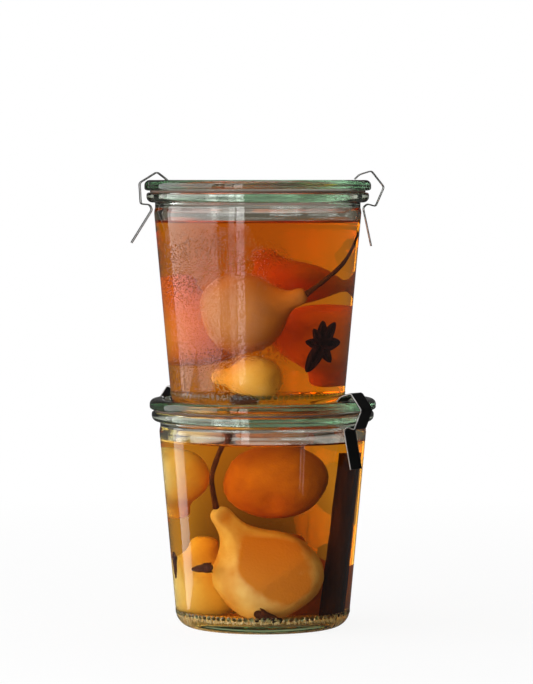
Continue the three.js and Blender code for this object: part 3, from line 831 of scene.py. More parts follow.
def seal_profile(shape):
    g = shape.glass
    lid = setting("jar_lid")
    inner = shape.mouth_radius + g.mouth_ease
    outer = g.bead_radius - g.rim_round - lid.seal_setback
    low, high, r = g.rim_height, shape.lid_seat, lid.seal_round
    points = arc((outer - r, low + r), r, -90, 0, 5)
    points += arc((outer - r, high - r), r, 0, 90, 5)
    points += arc((inner + r, high - r), r, 90, 180, 5)
    points += arc((inner + r, low + r), r, 180, 270, 5)
    return points


def turned_piece(name, profile, jar, material, closed=False, wet_rings=()):
    """A turned piece in its jar's place, with its wetted rings marked."""
    sides = setting("jar_glass").sides
    piece = skin_object(name, in_jar(jar, revolve(profile, sides, closed)), material)
    wet = []
    for ring, (radius, _) in enumerate(profile):
        wet += [float(ring in wet_rings)] * (1 if radius < AXIS else sides)
    mark_points(piece, "wet", wet)
    return piece


def mark_points(piece, name, values):
    mark = piece.data.attributes.new(name, "FLOAT", "POINT")
    mark.data.foreach_set("value", values)


MIST_AZIMUTH = -118
MIST_SPREAD = 52
MIST_FADE = 15 * MM


def misted(point, jar, shape):
    """How misted the outside of a jar is at a point: the upper jar, on the left of its front."""
    radius = math.hypot(point.x, point.y)
    outside = radius > shape.outer_radius(point.z) - shape.glass.wall / 2
    if jar == "lower" or not outside or point.z > shape.syrup_level:
        return 0.0
    azimuth = math.degrees(math.atan2(point.y, point.x))
    around = max(0.0, 1 - ((azimuth - MIST_AZIMUTH) / MIST_SPREAD) ** 2)
    return around * min(1.0, max(0.0, (shape.syrup_level - point.z) / MIST_FADE))


def dot_skin(shape):
    """One low raised dot that faces out along +X."""
    g = shape.glass
    rise = 0.12 * g.heel_dot_radius
    profile = [(g.heel_dot_radius, -0.3 * rise), (g.heel_dot_radius * 0.86, 0.45 * rise)]
    profile += [(g.heel_dot_radius * 0.5, 0.86 * rise), (0, rise)]
    verts, faces = revolve(profile, 10)
    return moved(verts, Matrix.Rotation(math.pi / 2 + shape.tilt, 4, "Y")), faces


class JARS_OT_jar_glass(Operator):
    """Make the two glass jar bodies, with the row of dots round their feet"""

    bl_idname = "jars.jar_glass"
    bl_label = "Jar Glass"

    def execute(self, context):
        shape = JarShape()
        for jar in JARS:
            profile, wet = jar_profile(shape)
            piece = turned_piece(f"{jar}_jar_glass", profile, jar, glass_material(), wet_rings=wet)
            base = jar_base(jar)
            mark_points(piece, "mist", [misted(v.co - base, jar, shape) for v in piece.data.vertices])
            settle(piece, f"{jar}_jar", "jar_glass", f"{jar}_jar")
            dots = ring_of(
                f"{jar}_heel_dots",
                dot_skin(shape),
                shape.glass.heel_dots,
                shape.outer_radius(shape.glass.heel_dot_height),
                0.0,
                glass_material(),
                Matrix.Translation(base + UP * shape.glass.heel_dot_height),
            )
            settle(dots, f"{jar}_jar", "jar_glass")
        return {"FINISHED"}


class JARS_OT_lids(Operator):
    """Make the two glass lids and their rubber seals"""

    bl_idname = "jars.lids"
    bl_label = "Lids and Seals"

    def execute(self, context):
        shape = JarShape()
        rubber = matter_material("seal_rubber", setting("jar_lid").seal_colour)
        for jar in JARS:
            lid = turned_piece(f"{jar}_lid_glass", lid_profile(shape), jar, glass_material())
            settle(lid, f"{jar}_lid", "jar_glass", f"{jar}_lid")
            seal = turned_piece(f"{jar}_seal_ring", seal_profile(shape), jar, rubber, closed=True)
            settle(seal, f"{jar}_lid", "seal_rubber", f"{jar}_seal")
        return {"FINISHED"}


# Clips


def clip_corners(shape):
    """The strip's corners from the nose down to the tail, in (radius, height), and the hook's crest."""
    c = setting("jar_clip")
    lid_radius = setting("jar_lid").radius
    bead_radius = shape.glass.bead_radius
    recess, top, under = shape.recess_radius, shape.lid_top, shape.bead_bottom
    crest = Vector((bead_radius - c.crest_in, under - c.crest_drop))
    corners = [
        Vector((recess - c.nose_in, top - c.nose_drop)),
        Vector((recess - c.bend_in, top + c.bend_rise)),
        Vector((recess + c.apex_out, top + c.apex_rise)),
        Vector((lid_radius + c.outer_out, top - c.outer_drop)),
        Vector((lid_radius + c.lower_out, under - c.lower_drop)),
        crest,
        Vector((bead_radius - c.neck_in, under - c.neck_drop)),
        Vector((bead_radius + c.tail_out, under - c.tail_drop)),
    ]
    return corners, crest


def rounded(corners, radius, steps):
    """A run of straight lines with its corners rounded."""
    path = [corners[0]]
    for before, corner, after in zip(corners, corners[1:], corners[2:]):
        back, ahead = (before - corner), (after - corner)
        reach = min(radius, 0.45 * back.length, 0.45 * ahead.length)
        start, end = corner + back.normalized() * reach, corner + ahead.normalized() * reach
        path.append(start)
        path += [Vector(p) for p in bezier([start, corner, end], steps)]
    path.append(corners[-1])
    return path


def strip_section(width, thickness, corner, steps):
    """A rounded strip's section, with the share of edge at each of its points."""
    section = []
    for side, (sx, sy) in enumerate(((1, -1), (1, 1), (-1, 1), (-1, -1))):
        centre = (sx * (width / 2 - corner), sy * (thickness / 2 - corner))
        for point in arc(centre, corner, -90 + 90 * side, 90 * side, steps):
            section.append((point, 1.0))
        if side % 2:
            inset = corner * 2.5
            across = width / 2 - inset
            for k in range(3):
                section.append(((sx * across * (1 - k), sy * thickness / 2), 0.0))
    return section


def clip_skin(shape, azimuth, tipped):
    """One clip's skin and the share of edge at each vertex, in the jar's frame."""
    c = setting("jar_clip")
    corners, crest = clip_corners(shape)
    path = rounded(corners, c.bend_round, 5)
    section = strip_section(c.width, c.thickness, c.thickness * 0.28, 2)
    rings = []
    edges = []
    for i, point in enumerate(path):
        ahead = (path[min(i + 1, len(path) - 1)] - path[max(i - 1, 0)]).normalized()
        normal = Vector((-ahead.y, ahead.x))
        ring = []
        for (across, out), edge in section:
            at = point + normal * out
            ring.append(Vector((at.x, across, at.y)))
            edges.append(edge)
        rings.append(ring)
    verts, faces = loft(rings)
    edges += [1.0, 1.0]
    place = Matrix.Rotation(math.radians(azimuth), 4, "Z")
    if tipped:
        pivot = Vector((crest.x, 0, crest.y))
        shift = Matrix.Translation((c.tip_out, 0, c.tip_up))
        turn = Matrix.Rotation(c.tip_angle, 4, "Y")
        place = place @ shift @ Matrix.Translation(pivot) @ turn @ Matrix.Translation(-pivot)
    return (moved(verts, place), faces), edges


CLIPS = (
    ("lower", "front", -36, True),
    ("lower", "back", 144, True),
    ("upper", "right", 0, True),
    ("upper", "left", 185, False),
)


class JARS_OT_clips(Operator):
    """Bend the four spring clips out of steel strip"""

    bl_idname = "jars.clips"
    bl_label = "Clips"

    def execute(self, context):
        shape = JarShape()
        for jar, side, azimuth, tipped in CLIPS:
            skin, edges = clip_skin(shape, azimuth, tipped)
            piece = skin_object(f"{jar}_clip_{side}_strip", in_jar(jar, skin), steel_material(), sharp=50)
            mark_points(piece, "edge", edges)
            settle(piece, f"{jar}_clip_{side}", "clip_steel", f"{jar}_clip_{side}")
        return {"FINISHED"}


# Fruit


class Cut(NamedTuple):
    """A flat face on a pear: the way it looks, how far out it lies, and how it leans in to the neck."""

    way: tuple
    depth: float
    slope: float


class Pear:
    """One pear: its size, the way its neck points and where it lies in its jar."""

    def __init__(self, name, size, reach, neck, axis, place, tones, seed, cut=None):
        radius = size * setting("jar_fruit").pear_radius
        self.name = name
        self.jar = name.split("_")[0]
        self.radius = radius
        self.reach = reach * radius
        self.neck = neck * radius
        self.axis = Vector(axis).normalized()
        self.place = place
        self.tones = tones
        self.seed = seed
        self.cut = cut

    def turn(self):
        return UP.rotation_difference(self.axis).to_matrix().to_4x4()

    def profile(self):
        belly, neck, reach = self.radius, self.neck, self.reach
        foot = belly * setting("jar_fruit").foot_share
        points = [(0, -foot)]
        points += bezier([(0, -foot), (0.75 * belly, -1.05 * foot), (belly, -0.55 * foot), (belly, 0)], 18)
        points += bezier([(belly, 0), (belly, 0.45 * reach), (neck, 0.45 * reach), (neck, 0.85 * reach)], 22)
        points += bezier([(neck, 0.85 * reach), (neck, reach), (0, reach)], 9)
        dimple, spread = 0.09 * belly, 0.22 * belly
        hollowed = []
        for radius, height in points:
            depth = math.exp(-((radius / spread) ** 2)) * dimple
            hollowed.append((radius, height + depth if height < 0 else height))
        return hollowed

    def centre(self, shape):
        kind, *values = self.place
        fruit = setting("jar_fruit")
        if kind == "floor":
            azimuth, out = values
            verts, _ = revolve(self.profile(), 24)
            lowest = min(v.z for v in moved(verts, self.turn()))
            height = shape.glass.floor + fruit.gap - lowest
            return polar(azimuth, out * shape.inner_radius(shape.glass.floor), height)
        if kind == "wall":
            azimuth, part = values
            return shape.by_wall(azimuth, shape.depth_share(part), self.radius - fruit.press)
        azimuth, out, sunk = values
        return polar(azimuth, out * shape.mouth_radius, shape.syrup_level - sunk * self.radius)

    def tip(self, shape):
        return self.centre(shape) + self.axis * self.reach

    def skin(self, shape):
        """The peeled skin in its jar's frame, uneven and pressed to the glass, and its shares of cut, where
        the flesh is painted in shade.
        """
        fruit = setting("jar_fruit")
        verts, faces = revolve(self.profile(), fruit.sides)
        stroke = 2 * math.pi / fruit.peel_strokes
        peeled = []
        for v in verts:
            angle = math.atan2(v.y, v.x) + 3.0 * v.z / self.reach
            flat = math.cos(stroke / 2) / math.cos(angle % stroke - stroke / 2)
            scale = 1 + fruit.peel_depth * (flat - 1)
            lump = noise.noise(v / (0.8 * self.radius) + Vector((self.seed, 0, 0)))
            scale *= 1 + fruit.lumps * lump
            peeled.append(Vector((v.x * scale, v.y * scale, v.z)))
        turn = self.turn()
        shares = [0.0] * len(peeled)
        if self.cut:
            way = turn.inverted() @ Vector(self.cut.way)
            way = Vector((way.x, way.y, 0)).normalized()
            shares = [self.sliced(v, way) for v in peeled]
        place = Matrix.Translation(self.centre(shape)) @ turn
        return ([self.kept_inside(v, shape, fruit.gap) for v in moved(peeled, place)], faces), shares

    def sliced(self, v, way):
        """Moves a point back to the cut face, with a soft edge, and tells how deep it was."""
        face = max(self.cut.depth * self.radius - self.cut.slope * max(v.z, 0), 0.5 * self.neck)
        over = v.dot(way) - face
        soft = 0.05 * self.radius
        taken = (over + math.hypot(over, soft)) / 2
        v -= way * taken * 0.9
        return min(1.0, taken / (0.15 * self.radius))

    def kept_inside(self, v, shape, gap):
        height = max(v.z, shape.glass.floor + gap)
        limit = shape.room_radius(height, gap)
        radius = math.hypot(v.x, v.y)
        if radius <= limit:
            return Vector((v.x, v.y, height))
        return Vector((v.x * limit / radius, v.y * limit / radius, height))


FRONT_CUT = Cut(way=(0.42, -0.91, 0), depth=0.74, slope=0.42)
# Name, size, reach and neck per belly radius, the way the neck points, place, tones, seed and cut
PEARS = (
    (
        "lower_pear_front", 1.47, 1.77, 0.23, (-21.5, -6, 32.7),
        ("floor", -82.6, 0.41), ("honey", "toffee_and_cut_shade"), 3, FRONT_CUT,
    ),
    ("lower_pear_top", 1.2, 1.72, 0.25, (0.1, 0.81, 0.57), ("afloat", 6.3, 0.1, 0.97), ("amber", "rosy"), 8),
    ("lower_pear_back", 0.97, 1.86, 0.29, (-0.1, 0, 1), ("floor", 65.6, 0.634), ("amber", "rosy"), 13),
    ("lower_pear_base", 0.97, 1.79, 0.29, (0.15, 0.1, 1), ("floor", 147.6, 0.637), ("cream", "pale"), 21),
    ("lower_pear_left", 0.9, 1.78, 0.3, (0.25, 0.45, -0.85), ("wall", 162, 0.812), ("pale", "honey"), 34),
    ("upper_pear_stemmed", 1.3, 1.49, 0.215, (25.5, -8.3, 8), ("wall", -103, 0.506), ("russet", "rosy"), 5),
    ("upper_pear_left", 1.13, 1.7, 0.265, (-0.1, 0.2, 0.97), ("wall", 141, 0.388), ("amber", "caramel"), 11),
    (
        "upper_pear_right", 1.07, 1.62, 0.26, (-0.1, 0.35, -0.93),
        ("wall", 38.6, 0.365), ("amber", "caramel"), 17,
    ),
    (
        "upper_pear_bottom", 0.73, 1.73, 0.33, (-0.85, 0.45, 0.05),
        ("floor", -92.8, 0.539), ("honey", "golden"), 23,
    ),
    ("upper_pear_back", 0.73, 1.73, 0.33, (-0.4, -0.3, 0.85), ("wall", 76, 0.671), ("sallow", "amber"), 29),
)


def pears():
    return [Pear(*row) for row in PEARS]


def flesh_material(tones):
    """Poached flesh in two tones, the deeper one in patches and, as painted shade, over a cut face."""
    name = f"{tones[0]}_{tones[1]}_pear_flesh"
    found = bpy.data.materials.get(name)
    if found:
        return found
    fruit = setting("jar_fruit")
    light, deep = (getattr(fruit, tone) for tone in tones)
    finish = FINISHES["pear_flesh"]
    material, tree, spots = finish.begin(name)
    # Painted shade: the cut face is pushed towards the deeper tone.
    cut_shade = worked(tree, "MULTIPLY", marked(tree, "cut"), fruit.cut_painted_shade)
    depth = worked(tree, "ADD", spots["Patches"], cut_shade, clamp=True)
    finish.end(tree, blended(tree, depth, light, deep), spots["Grain"])
    return material


class JARS_OT_pears(Operator):
    """Shape the ten poached pears where they lie"""

    bl_idname = "jars.pears"
    bl_label = "Pears"

    def execute(self, context):
        shape = JarShape()
        for pear in pears():
            skin, cut = pear.skin(shape)
            piece = skin_object(f"{pear.name}_flesh", in_jar(pear.jar, skin), flesh_material(pear.tones))
            # The share of cut, by which the flesh is painted in shade.
            mark_points(piece, "cut", cut)
            settle(piece, f"{pear.jar}_jar", f"pear_{pear.jar}", pear.name)
        return {"FINISHED"}


def stem_skin(points, radius, seed):
    """A woody stem: flared at its root, knobbly along, with a swollen cut end."""
    path = smooth_path(points, 9)
    radii = []
    for i, point in enumerate(path):
        t = i / (len(path) - 1)
        flare = 0.35 * math.exp(-t * 14) + 0.45 * math.exp(-(1 - t) * 16)
        knob = 0.16 * noise.noise(point / (4 * MM) + Vector((seed, 0, 0)))
        radii.append(radius * (0.88 + flare + knob))
    return loft(tube_rings(path, radii, 14))


# Where each stem goes from its pear: steps per stem length, and azimuth, depth and distance from the wall
FREE_STEM = ((-0.07, -0.12, 0.41), (-0.006, -0.176, 0.706), (0.097, -0.206, 0.97))
LEANING_STEM = ((-40, 0.686, 4.6 * MM), (-22.9, 0.788, 2.6 * MM), (-4, 0.94, 1.8 * MM))
STEM_SEED = 5


class JARS_OT_stems(Operator):
    """Grow the two stems out of their pears"""

    bl_idname = "jars.stems"
    bl_label = "Stems"

    def execute(self, context):
        shape = JarShape()
        fruit = setting("jar_fruit")
        material = matter_material("pear_stem", fruit.stem)
        named = {pear.name: pear for pear in pears()}
        free = named["lower_pear_front"].tip(shape)
        lower = [free] + [free + Vector(step) * fruit.stem_length for step in FREE_STEM]
        upper = [named["upper_pear_stemmed"].tip(shape)]
        for azimuth, part, inset in LEANING_STEM:
            upper.append(shape.by_wall(azimuth, shape.depth_share(part), inset))
        for node, points in (("lower_pear_front_stem", lower), ("upper_pear_stem", upper)):
            jar = node.split("_")[0]
            skin = in_jar(jar, stem_skin(points, fruit.stem_radius, STEM_SEED))
            settle(skin_object(f"{node}_wood", skin, material), f"{jar}_jar", "stem", node)
        return {"FINISHED"}


# Spices


def quill_skin(shape):
    """A rolled sheet of bark, standing on the floor beside the wall."""
    s = setting("jar_spice")
    drop = s.quill_bark + s.quill_gap
    steps, rows = 64, 40
    rings = []
    for k in range(rows + 1):
        height = s.quill_length * k / rows
        ring = []
        for inset, order in ((0.0, range(steps + 1)), (s.quill_bark, range(steps, -1, -1))):
            for i in order:
                turns = s.quill_turns * i / steps
                angle = 2 * math.pi * turns
                wave = noise.noise(Vector((math.cos(angle) * 1.5, math.sin(angle) * 1.5, height / (9 * MM))))
                radius = s.quill_radius - drop * turns - inset + wave * 0.3 * MM
                ring.append(Vector((radius * math.cos(angle), radius * math.sin(angle), height)))
        rings.append(ring)
    sides = len(rings[0])
    verts = [p for ring in rings for p in ring]
    faces = []
    for k in range(rows):
        for i in range(sides):
            j = (i + 1) % sides
            faces.append((k * sides + i, k * sides + j, (k + 1) * sides + j, (k + 1) * sides + i))
    top = rows * sides
    for i in range(steps):
        mate = sides - 1 - i
        faces.append((i + 1, i, mate, mate - 1))
        faces.append((top + i, top + i + 1, top + mate - 1, top + mate))
    foot = shape.glass.floor + setting("jar_fruit").gap
    stand = Matrix.Translation((shape.inner_radius(foot) - s.quill_inset, 0, foot))
    lean = Matrix.Rotation(shape.tilt, 4, "Y")
    around = Matrix.Rotation(s.quill_azimuth, 4, "Z")
    return moved(verts, around @ stand @ lean), faces


class JARS_OT_cinnamon(Operator):
    """Roll the cinnamon quill"""

    bl_idname = "jars.cinnamon"
    bl_label = "Cinnamon"

    def execute(self, context):
        material = matter_material("cinnamon_bark", setting("jar_spice").bark)
        skin = in_jar("lower", quill_skin(JarShape()))
        piece = skin_object("lower_cinnamon_bark", skin, material, sharp=60)
        settle(piece, "lower_jar", "cinnamon", "lower_cinnamon")
        return {"FINISHED"}


def clove_skin():
    """A clove along +Z from its tip: a squarish stem, four sepals and a round bud."""
    s = setting("jar_spice")
    neck = s.clove_length - s.clove_cup_length - s.clove_bud_length
    rows = [
        (0.0, s.clove_tip * 0.6),
        (0.04 * neck, s.clove_tip),
        (0.5 * neck, s.clove_stem * 0.9),
        (0.9 * neck, s.clove_stem * 1.08),
        (neck, s.clove_stem * 1.2),
        (neck + 0.45 * s.clove_cup_length, s.clove_stem * 1.35),
        (neck + 0.6 * s.clove_cup_length, s.clove_stem * 0.9),
    ]
    rings = []
    for height, radius in rows:
        ring = []
        for i in range(20):
            angle = 2 * math.pi * i / 20
            out = radius * (1 + 0.10 * math.cos(4 * angle))
            ring.append(Vector((out * math.cos(angle), out * math.sin(angle), height)))
        rings.append(ring)
    parts = [loft(rings)]
    bud_centre = neck + 0.75 * s.clove_cup_length
    bud_rise = s.clove_length - bud_centre
    bud = [(0, bud_centre - bud_rise * 0.6)]
    bud += [
        (s.clove_stem * 1.05 * math.cos(a), bud_centre + bud_rise * math.sin(a))
        for a in (math.radians(d) for d in range(-30, 90, 20))
    ]
    parts.append(revolve(bud + [(0, s.clove_length)], 16))
    for k in range(4):
        angle = math.pi / 2 * k
        out = Vector((math.cos(angle), math.sin(angle), 0))
        root = out * s.clove_stem * 0.8 + UP * neck
        tip = out * s.clove_cup + UP * (neck + s.clove_cup_length)
        bend = out * s.clove_cup * 0.85 + UP * (neck + 0.35 * s.clove_cup_length)
        path = [Vector(p) for p in [tuple(root), *bezier([root, bend, tip], 6)]]
        radii = [s.clove_stem * 0.55 * (1 - 0.82 * i / 6) for i in range(7)]
        parts.append(loft(tube_rings(path, radii, 8)))
    return joined(*parts)


def clove_places(shape):
    s = setting("jar_spice")
    resting = shape.glass.floor + s.clove_rest
    wall = s.clove_wall_inset
    return (
        ("lower_clove_front", shape.by_wall(-75.8, resting, s.clove_floor_inset), (-0.95, 0, 0.31)),
        ("lower_clove_left", shape.by_wall(-145.3, shape.depth_share(0.294), wall), (0.69, -0.7, 0.16)),
        ("lower_clove_edge", shape.by_wall(-170.9, shape.depth_share(0.224), wall), (-0.09, 0, 1)),
        ("upper_clove", shape.by_wall(-89.1, resting, s.clove_floor_inset), (-1, 0.05, 0.02)),
    )


class JARS_OT_cloves(Operator):
    """Lay the cloves by the glass"""

    bl_idname = "jars.cloves"
    bl_label = "Cloves"

    def execute(self, context):
        shape = JarShape()
        material = matter_material("dried_clove", setting("jar_spice").clove)
        for node, tip, axis in clove_places(shape):
            jar = node.split("_")[0]
            turn = UP.rotation_difference(Vector(axis)).to_matrix().to_4x4()
            verts, faces = clove_skin()
            place = Matrix.Translation(jar_base(jar)) @ Matrix.Translation(tip) @ turn
            piece = skin_object(f"{node}_bud", (moved(verts, place), faces), material)
            settle(piece, f"{jar}_jar", "clove", node)
        return {"FINISHED"}


def pod_skin():
    """One boat-shaped pod along +X, its lips open towards +Z, with a seed between them."""
    s = setting("jar_spice")
    steps = 16
    rings = []
    for k in range(steps + 1):
        t = k / steps
        swell = max(math.sin(math.pi * t**0.8), 0.0) ** 0.6
        half = s.star_radius * (0.03 + 0.23 * swell) * (1 - 0.3 * t)
        keel = -0.5 * s.star_thickness * (0.25 + 0.75 * swell)
        lip = 0.5 * s.star_thickness * (0.35 + 0.65 * swell)
        groove = lip - 0.6 * s.star_thickness * swell
        x = s.star_radius * (0.03 + 0.83 * t)
        side = [
            (half * 0.75, keel * 0.6),
            (half, 0.1 * lip),
            (half * 0.78, lip),
            (half * 0.45, lip * 0.9),
        ]
        ring = [(x, 0, keel)]
        ring += [(x, y, z) for y, z in side]
        ring.append((x, 0, groove))
        ring += [(x, -y, z) for y, z in reversed(side)]
        rings.append([Vector(p) for p in ring])
    half_circle = [(max(r, 0.0), z) for r, z in arc((0, 0), 1.0, -90, 90, 10)]
    half_circle[0] = (0, -1)
    half_circle[-1] = (0, 1)
    verts, faces = revolve(half_circle, 14)
    size = Matrix.Diagonal((0.15 * s.star_radius, 0.075 * s.star_radius, 0.28 * s.star_thickness, 1))
    seed_place = Matrix.Translation((0.42 * s.star_radius, 0, 0.1 * s.star_thickness)) @ size
    return joined(loft(rings), (moved(verts, seed_place), faces))


def copies_tree(name, *sockets):
    """An empty geometry tree with named inputs, and what comes in through them."""
    tree = bpy.data.node_groups.new(name, "GeometryNodeTree")
    for label, kind in (("Geometry", "Geometry"), *sockets):
        tree.interface.new_socket(label, in_out="INPUT", socket_type=f"NodeSocket{kind}")
    tree.interface.new_socket("Geometry", in_out="OUTPUT", socket_type="NodeSocketGeometry")
    return tree, add(tree, "NodeGroupInput").outputs


def made_plain(tree, copies, finish):
    """Ends a tree with its copies as plain mesh of one finish."""
    plain = add(tree, "GeometryNodeRealizeInstances", {"Geometry": copies.outputs["Instances"]})
    inputs = {"Geometry": plain.outputs["Geometry"], "Material": finish}
    dressed = add(tree, "GeometryNodeSetMaterial", inputs)
    add(tree, "NodeGroupOutput", {"Geometry": dressed.outputs["Geometry"]})
    return tree


RING_SEED = 7


def ring_tree():
    """Copies of a shape turned evenly about the Z axis, as plain mesh."""
    sockets = (("Copies", "Int"), ("Ring Radius", "Float"), ("Unevenness", "Float"), ("Finish", "Material"))
    tree, start = copies_tree("turned_copies", *sockets)
    points = add(tree, "GeometryNodePoints", {"Count": start["Copies"]}).outputs["Points"]
    index = add(tree, "GeometryNodeInputIndex").outputs["Index"]
    turn = worked(tree, "MULTIPLY", worked(tree, "DIVIDE", index, start["Copies"]), math.tau)
    limits = {"Min": -1.0, "Max": 1.0, "Seed": RING_SEED}
    wobble = add(tree, "FunctionNodeRandomValue", limits, data_type="FLOAT")
    spread = worked(tree, "MULTIPLY", wobble.outputs["Value"], start["Unevenness"])
    angle = worked(tree, "ADD", turn, spread)
    sides = {}
    for axis, wave in (("X", "COSINE"), ("Y", "SINE")):
        sides[axis] = worked(tree, "MULTIPLY", worked(tree, wave, angle), start["Ring Radius"])
    place = add(tree, "ShaderNodeCombineXYZ", sides).outputs["Vector"]
    placed = add(tree, "GeometryNodeSetPosition", {"Geometry": points, "Position": place})
    inputs = {
        "Points": placed.outputs["Geometry"],
        "Instance": start["Geometry"],
        "Rotation": add(tree, "ShaderNodeCombineXYZ", {"Z": angle}).outputs["Vector"],
        "Scale": worked(tree, "ADD", spread, 1.0),
    }
    return made_plain(tree, add(tree, "GeometryNodeInstanceOnPoints", inputs), start["Finish"])


def grown(seed, tree, name, values):
    """A piece with the mesh that a node tree makes from a seed object, which is then removed."""
    modifier = seed.modifiers.new("grown", "NODES")
    modifier.node_group = tree
    for item in tree.interface.items_tree:
        if item.in_out == "INPUT" and item.name in values:
            modifier[item.identifier] = values[item.name]
    graph = bpy.context.evaluated_depsgraph_get()
    mesh = bpy.data.meshes.new_from_object(seed.evaluated_get(graph))
    bpy.data.objects.remove(seed)
    mesh.name = name
    mesh.polygons.foreach_set("use_smooth", [True] * len(mesh.polygons))
    piece = bpy.data.objects.new(name, mesh)
    bpy.context.scene.collection.objects.link(piece)
    return piece


def ring_of(name, skin, copies, ring_radius, unevenness, material, place):
    """A finished piece made of copies of one skin, turned about Z and then placed."""
    seed = skin_object(f"{name}_one", skin, material)
    tree = bpy.data.node_groups.get("turned_copies") or ring_tree()
    values = {"Copies": copies, "Ring Radius": ring_radius, "Unevenness": unevenness, "Finish": material}
    piece = grown(seed, tree, name, values)
    piece.data.transform(place)
    return piece


# Where the star anise leans on the wall: degrees round the jar and about itself, and its share of the depth
STAR_AZIMUTH = -40.7
STAR_ROLL = 135
STAR_DEPTH = 0.318
STAR_UNEVENNESS = 0.25


class JARS_OT_star_anise(Operator):
    """Set the pods of the star anise round its middle"""

    bl_idname = "jars.star_anise"
    bl_label = "Star Anise"

    def execute(self, context):
        shape = JarShape()
        s = setting("jar_spice")
        material = matter_material("star_anise_pod", s.star)
        height = shape.depth_share(STAR_DEPTH)
        wall_at_tips = math.sqrt(shape.inner_radius(height) ** 2 - s.star_radius**2)
        middle = wall_at_tips - s.star_thickness / 2
        face = Matrix.Rotation(math.pi / 2 + shape.tilt, 4, "Y")
        place = Matrix.Translation(jar_base("upper")) @ Matrix.Rotation(math.radians(STAR_AZIMUTH), 4, "Z")
        place = place @ Matrix.Translation((middle, 0, height)) @ face
        place = place @ Matrix.Rotation(math.radians(STAR_ROLL), 4, "Z")
        pods = (pod_skin(), s.star_pods, 0.0, STAR_UNEVENNESS)
        piece = ring_of("upper_star_anise_pods", *pods, material, place)
        settle(piece, "upper_jar", "star_anise", "upper_star_anise")
        return {"FINISHED"}


# Fruit grit on the floor of the lower jar

GRAIN_SIZES = ((0.4, 0.4, 0.3), (1.3, 1.0, 0.7))
GRIT_SEED = 4
BED_SIDES = 48


def grit_tree():
    """Scatters small grains over a face, as plain mesh."""
    sockets = (("Density", "Float"), ("Grain Radius", "Float"), ("Seed", "Int"), ("Finish", "Material"))
    tree, start = copies_tree("grit_scatter", *sockets)
    bed = {"Mesh": start["Geometry"], "Density": start["Density"], "Seed": start["Seed"]}
    spread = add(tree, "GeometryNodeDistributePointsOnFaces", bed, distribute_method="RANDOM")
    grain = add(tree, "GeometryNodeMeshIcoSphere", {"Subdivisions": 1, "Radius": start["Grain Radius"]})
    inputs = {"Points": spread.outputs["Points"], "Instance": grain.outputs["Mesh"]}
    for name, (low, high) in (("Rotation", ((0, 0, 0), (math.tau,) * 3)), ("Scale", GRAIN_SIZES)):
        drawn = add(tree, "FunctionNodeRandomValue", {"Min": low, "Max": high}, data_type="FLOAT_VECTOR")
        inputs[name] = drawn.outputs["Value"]
    return made_plain(tree, add(tree, "GeometryNodeInstanceOnPoints", inputs), start["Finish"])


class JARS_OT_grit(Operator):
    """Scatter fruit grit over the floor of the lower jar"""

    bl_idname = "jars.grit"
    bl_label = "Fruit Grit"

    def execute(self, context):
        shape = JarShape()
        fruit = setting("jar_fruit")
        corner = shape.corner_centre()
        reach = shape.glass.inner_corner - fruit.grit_radius
        profile = [(AXIS, shape.glass.floor + fruit.grit_radius)]
        profile += line(profile[0], (corner[0], profile[0][1]), 4)
        profile += arc(corner, reach, -90, -35, 6)[1:]
        material = matter_material("fruit_grit", fruit.golden, fruit.pale)
        held = skin_object("lower_fruit_grit_bed", in_jar("lower", revolve(profile, BED_SIDES)), material)
        values = {
            "Density": fruit.grit_density,
            "Grain Radius": fruit.grit_radius,
            "Seed": GRIT_SEED,
            "Finish": material,
        }
        piece = grown(held, grit_tree(), "lower_fruit_grit", values)
        settle(piece, "lower_jar", "pear_lower")
        return {"FINISHED"}


# Syrup


def syrup_profile(shape):
    """The syrup's skin: just inside the glass, so that no air shows between them, with a raised edge."""
    look = setting("jar_syrup")
    skin = -look.into_glass
    level = shape.syrup_level
    foot = wall_foot(shape)
    corner = shape.corner_centre()
    points = [(0, shape.glass.floor + skin)]
    points += line(points[-1], (corner[0], shape.glass.floor + skin), 6)
    tilt = math.degrees(shape.tilt)
    points += arc(corner, shape.glass.inner_corner - skin, -90, -tilt, 12)[1:]
    edge = shape.inner_radius(level) - skin
    rim = (edge, shape.contact())
    points += line((foot[0] - skin, foot[1]), rim, 24)
    wet = range(len(points))
    points.append((edge - HAIR, rim[1]))
    points += bezier([points[-1], (edge - 1.2 * MM, level), (edge - 4 * look.meniscus, level)], 8)
    points += line(points[-1], (0, level), 8)
    return points, wet


class JARS_OT_syrup(Operator):
    """Pour the syrup round the fruit"""

    bl_idname = "jars.syrup"
    bl_label = "Syrup"

    def execute(self, context):
        shape = JarShape()
        look = setting("jar_syrup")
        for jar, density in zip(JARS, (look.lower_density, look.upper_density)):
            profile, wet = syrup_profile(shape)
            material = syrup_material(f"{jar}_amber_syrup", density)
            piece = turned_piece(f"{jar}_syrup_fill", profile, jar, material, wet_rings=wet)
            settle(piece, f"{jar}_jar", "syrup", f"{jar}_syrup")
        return {"FINISHED"}


# Stage

# Heights over which the set seen through glass brightens and dims, as shares of the way up
SET_EDGE = (-0.027, 0.005)
SET_FADE = (0.08, 0.3)
# Distances over which the floor turns white, and over which it takes on the set's brightness through glass
FLOOR_WHITE = (0.1, 0.7)
FLOOR_FADE = (0.5, 3.0)
FLOOR_HALF = 4.0
FLOOR_DROP = 0.2 * MM
# How often light may cross the many skins of glass and syrup
BOUNCES = {
    "max_bounces": 32,
    "transmission_bounces": 32,
    "glossy_bounces": 16,
    "transparent_max_bounces": 32,
}
SENSOR_WIDTH = 36.0
CAMERA_REACH = 50.0
TOP_PLACE = (-0.1, 0.25, 1.4)
TOP_WIDTH = 0.9


